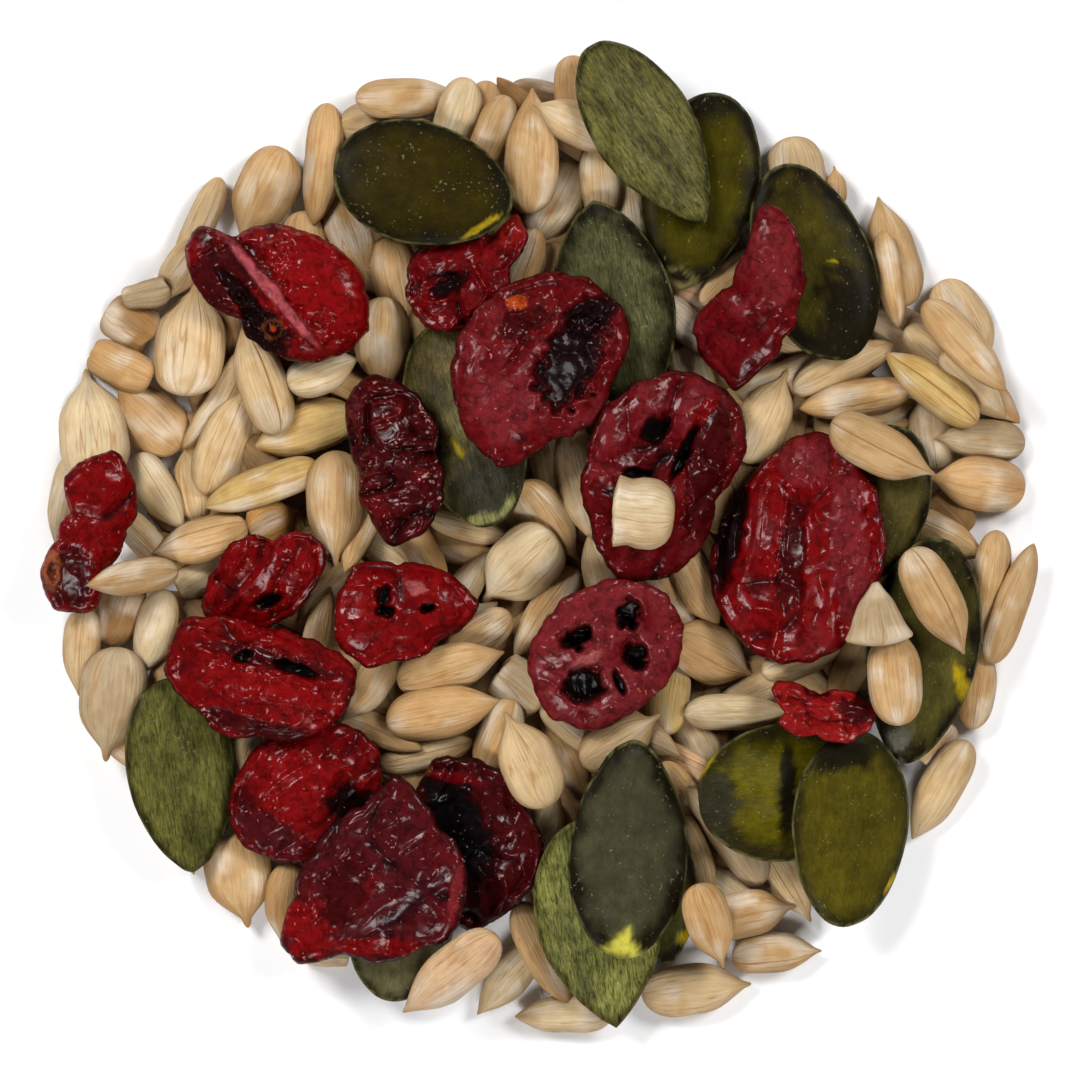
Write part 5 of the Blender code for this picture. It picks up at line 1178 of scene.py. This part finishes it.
def bed_tree():
    """A Geometry Nodes tree that strews one kernel over a surface, each turned and tinted by chance."""
    tree = bpy.data.node_groups.new("strew_kernels", "GeometryNodeTree")
    sockets = {
        "Surface": "Geometry", "Kernel": "Object", "Skin": "Material", "Spacing": "Float", "Seed": "Int",
        "Pale tint": "Color", "Dark tint": "Color",
    }
    for name, kind in sockets.items():
        tree.interface.new_socket(name, in_out="INPUT", socket_type="NodeSocket" + kind)
    tree.interface.new_socket("Kernels", in_out="OUTPUT", socket_type="NodeSocketGeometry")
    given = add_node(tree, "NodeGroupInput").outputs
    points = add_node(tree, "GeometryNodeDistributePointsOnFaces", {
        "Mesh": given["Surface"], "Distance Min": given["Spacing"], "Density Max": BED_DENSITY,
        "Seed": given["Seed"]}, distribute_method="POISSON")
    kernel = add_node(tree, "GeometryNodeObjectInfo", {"Object": given["Kernel"]})
    turns = add_node(tree, "FunctionNodeRandomValue", {
        0: (-BED_TILT, -BED_TILT, 0.0), 1: (BED_TILT, BED_TILT, 2 * math.pi), "Seed": given["Seed"]},
        data_type="FLOAT_VECTOR")
    copies = add_node(tree, "GeometryNodeInstanceOnPoints", {
        "Points": points.outputs["Points"], "Instance": kernel.outputs["Geometry"],
        "Rotation": turns.outputs[0]})
    chance = add_node(tree, "FunctionNodeRandomValue", {
        2: 0.0, 3: 1.0, "Seed": given["Seed"]}, data_type="FLOAT")
    tint = add_node(tree, "ShaderNodeMix", {
        0: chance.outputs[1], 6: given["Pale tint"], 7: given["Dark tint"]}, data_type="RGBA")
    tinted = add_node(tree, "GeometryNodeStoreNamedAttribute", {
        "Geometry": copies.outputs[0], "Name": "tint", "Value": tint.outputs[2]},
        data_type="FLOAT_COLOR", domain="INSTANCE")
    real = add_node(tree, "GeometryNodeRealizeInstances", {0: tinted.outputs[0]})
    skinned = add_node(tree, "GeometryNodeSetMaterial", {
        "Geometry": real.outputs[0], "Material": given["Skin"]})
    add_node(tree, "NodeGroupOutput", {0: skinned.outputs[0]})
    return tree


def plain_kernel(length, width, thickness):
    """A low kernel of a few dozen faces for the hidden bed, lying along X round the origin."""
    piece = Kernel("bed_kernel", (-length / 2, 0.0, length / 2, 0.0, width, "bt"))
    s, turn = kernel_grid(BED_ROWS, BED_SIDES)
    full = piece.fullness(s)
    u = (s - 0.5) * length
    v = full * width / 2 * np.cos(turn)
    w = -full ** 0.7 * thickness / 2 * np.sin(turn)
    corners = np.stack([with_poles(part) for part in (u, v, w)], axis=-1) * MM
    values = {
        "grain": with_poles(np.stack([u, np.cos(turn), -np.sin(turn)], axis=-1)),
        "lie": with_poles(np.stack([s, np.cos(turn), np.zeros_like(s)], axis=-1)),
    }
    return skin_object("bed_kernel", corners, skin_faces(BED_ROWS, BED_SIDES, 0), kernel_material(), values)


def strewn_bed(sizes):
    """The hidden kernels on the floor under the heap, made a plain mesh."""
    bm = bmesh.new()
    bmesh.ops.create_circle(bm, cap_ends=True, segments=BED_EDGES, radius=sizes.bed_reach)
    bmesh.ops.translate(bm, verts=bm.verts, vec=(0, 0, sizes.bed_height))
    surface = new_object("bed_surface", finished_mesh("bed_surface", bm))
    template = plain_kernel(sizes.kernel_length / MM, *BED_KERNEL)
    tree = bed_tree()
    modifier = surface.modifiers.new("strew", "NODES")
    modifier.node_group = tree
    # The hidden kernels take random tints from tan to dark brown: random tone, with the dark end a painted
    # shade that darkens the gaps between the kernels above them
    inputs = {
        "Kernel": template, "Skin": kernel_material(), "Spacing": sizes.bed_spacing, "Seed": BED_NUMBER,
        "Pale tint": to_linear(KERNEL_TINTS["tan"]), "Dark tint": to_linear(KERNEL_TINTS["dark"]),
    }
    for socket in tree.interface.items_tree:
        if socket.name in inputs:
            modifier[socket.identifier] = inputs[socket.name]
    shown = surface.evaluated_get(bpy.context.evaluated_depsgraph_get())
    bed = new_object("kernel_bed", bpy.data.meshes.new_from_object(shown))
    surface.modifiers.remove(modifier)
    bpy.data.objects.remove(surface)
    bpy.data.objects.remove(template)
    bpy.data.node_groups.remove(tree)
    return bed


def size_setting(name, description, millimetres):
    """A size that can be set in the panel."""
    return bpy.props.FloatProperty(
        name=name, description=description, default=millimetres * MM, min=MM, unit="LENGTH")


class TrailMixSizes(bpy.types.PropertyGroup):
    """Sizes of the heap's hidden bed and of what is strewn in it."""
    kernel_length: size_setting("Kernel length", "Length of a kernel in the hidden bed", KERNEL_LENGTH)
    bed_reach: size_setting("Bed reach", "Radius of the bed of hidden kernels", 32.0)
    bed_height: size_setting("Bed height", "Height of the hidden kernels' middles over the floor", 1.25)
    bed_spacing: size_setting("Bed spacing", "Least distance between the middles of hidden kernels", 3.0)


class TrailMixStage(bpy.types.PropertyGroup):
    """The floor, the light and the camera."""
    floor_colour: bpy.props.FloatVectorProperty(
        name="Floor colour", description="Colour of the plain floor", subtype="COLOR", size=4,
        default=to_linear("#f9f9fa"), min=0.0, max=1.0)
    light_power: bpy.props.FloatProperty(
        name="Light power", description="Power of the soft lights over the heap",
        default=36.0, min=0.0, unit="POWER")
    room_light: bpy.props.FloatProperty(
        name="Room light", description="Even light from all round", default=0.06, min=0.0)
    camera_distance: bpy.props.FloatProperty(
        name="Camera distance", description="Height of the camera over the middle of the heap",
        default=0.675, min=0.1, unit="LENGTH")


class TRAILMIX_OT_stage(bpy.types.Operator):
    """Set up the pale floor, the soft light and the camera straight above the heap"""
    bl_idname = "trailmix.stage"
    bl_label = "Stage"

    def execute(self, context):
        settings = context.scene.trail_mix_stage
        bm = bmesh.new()
        bmesh.ops.create_grid(bm, x_segments=1, y_segments=1, size=FLOOR_REACH)
        floor = new_object("floor", finished_mesh("floor", bm))
        floor.data.materials.append(floor_material(settings.floor_colour))
        for name, place, share in LAMPS:
            lamp = bpy.data.lights.new(name, "AREA")
            lamp.size = LAMP_SIZE
            lamp.energy = settings.light_power * share
            light = new_object(name, lamp)
            light.location = place
            light.rotation_euler = light.location.to_track_quat("Z", "Y").to_euler()
        world = bpy.data.worlds.new("soft_room")
        world.use_nodes = True
        sky = world.node_tree.nodes["Background"]
        sky.inputs["Color"].default_value = grey(1.0)
        sky.inputs["Strength"].default_value = settings.room_light
        context.scene.world = world
        heap_middle = (CAD_BOX[0][2] + CAD_BOX[1][2]) / 2
        camera_data = bpy.data.cameras.new("camera")
        camera_data.sensor_width = SENSOR_WIDTH
        camera_data.lens = SENSOR_WIDTH * settings.camera_distance / (PICTURE_WIDTH * MM)
        camera_data.clip_start = 0.01
        camera = new_object("camera", camera_data)
        camera.location = (0.0, 0.0, heap_middle + settings.camera_distance)
        context.scene.camera = camera
        context.scene.view_settings.view_transform = "Standard"
        return {"FINISHED"}


class TRAILMIX_OT_kernels(bpy.types.Operator):
    """Make the heap of sunflower kernels over its hidden bed"""
    bl_idname = "trailmix.kernels"
    bl_label = "Kernels"

    def execute(self, context):
        heap = kernels_object("kernel_heap", settled()[0], kernel_material(), HEAP_NUMBER)
        bed = strewn_bed(context.scene.trail_mix_sizes)
        for item in (heap, bed):
            hand_over(item, "sunflower_kernels")
        return {"FINISHED"}


class TRAILMIX_OT_loose_kernels(bpy.types.Operator):
    """Make the kernels that lie on seeds and cranberries"""
    bl_idname = "trailmix.loose_kernels"
    bl_label = "Loose kernels"

    def execute(self, context):
        for i, piece in enumerate(settled()[2]):
            item = kernels_object("detailed_" + piece.name, [piece], kernel_material(), LOOSE_NUMBER + i)
            hand_over(item, piece.name)
        return {"FINISHED"}


def make_toppings(slot, looks, make, material, first_number):
    """Makes each seed or cranberry that the looks name, with the slot's name before its own."""
    for i, piece in enumerate(settled()[1]):
        name = piece.name.removeprefix(slot + "_")
        if name in looks:
            hand_over(make(piece, looks[name], material, first_number + i), piece.name)


class TRAILMIX_OT_pumpkin_seeds(bpy.types.Operator):
    """Make the pumpkin seeds"""
    bl_idname = "trailmix.pumpkin_seeds"
    bl_label = "Pumpkin seeds"

    def execute(self, context):
        make_toppings("pumpkin_seed", SEED_LOOKS, seed_object, seed_material(), SEED_NUMBER)
        return {"FINISHED"}


class TRAILMIX_OT_cranberries(bpy.types.Operator):
    """Make the dried cranberries"""
    bl_idname = "trailmix.cranberries"
    bl_label = "Cranberries"

    def execute(self, context):
        make_toppings("cranberry", BERRY_LOOKS, berry_object, berry_material(), BERRY_NUMBER)
        return {"FINISHED"}


class TRAILMIX_PT_panel(bpy.types.Panel):
    """Sizes of the heap and its makers"""
    bl_idname = "TRAILMIX_PT_panel"
    bl_label = "Trail mix"
    bl_space_type = "VIEW_3D"
    bl_region_type = "UI"
    bl_category = "Trail mix"

    def draw(self, context):
        for settings in (context.scene.trail_mix_sizes, context.scene.trail_mix_stage):
            for name in settings.__annotations__:
                self.layout.prop(settings, name)
        for maker in MAKERS:
            self.layout.operator(maker.bl_idname)


MAKERS = (TRAILMIX_OT_stage, TRAILMIX_OT_kernels, TRAILMIX_OT_loose_kernels, TRAILMIX_OT_pumpkin_seeds,
          TRAILMIX_OT_cranberries)
CLASSES = (TrailMixSizes, TrailMixStage, *MAKERS, TRAILMIX_PT_panel)


def register():
    for each in CLASSES:
        bpy.utils.register_class(each)
    bpy.types.Scene.trail_mix_sizes = bpy.props.PointerProperty(type=TrailMixSizes)
    bpy.types.Scene.trail_mix_stage = bpy.props.PointerProperty(type=TrailMixStage)


def unregister():
    del bpy.types.Scene.trail_mix_stage
    del bpy.types.Scene.trail_mix_sizes
    for each in reversed(CLASSES):
        bpy.utils.unregister_class(each)


def main():
    register()
    bpy.ops.trailmix.stage()
    bpy.ops.trailmix.kernels()
    bpy.ops.trailmix.loose_kernels()
    bpy.ops.trailmix.pumpkin_seeds()
    bpy.ops.trailmix.cranberries()


if __name__ == "__main__":
    main()
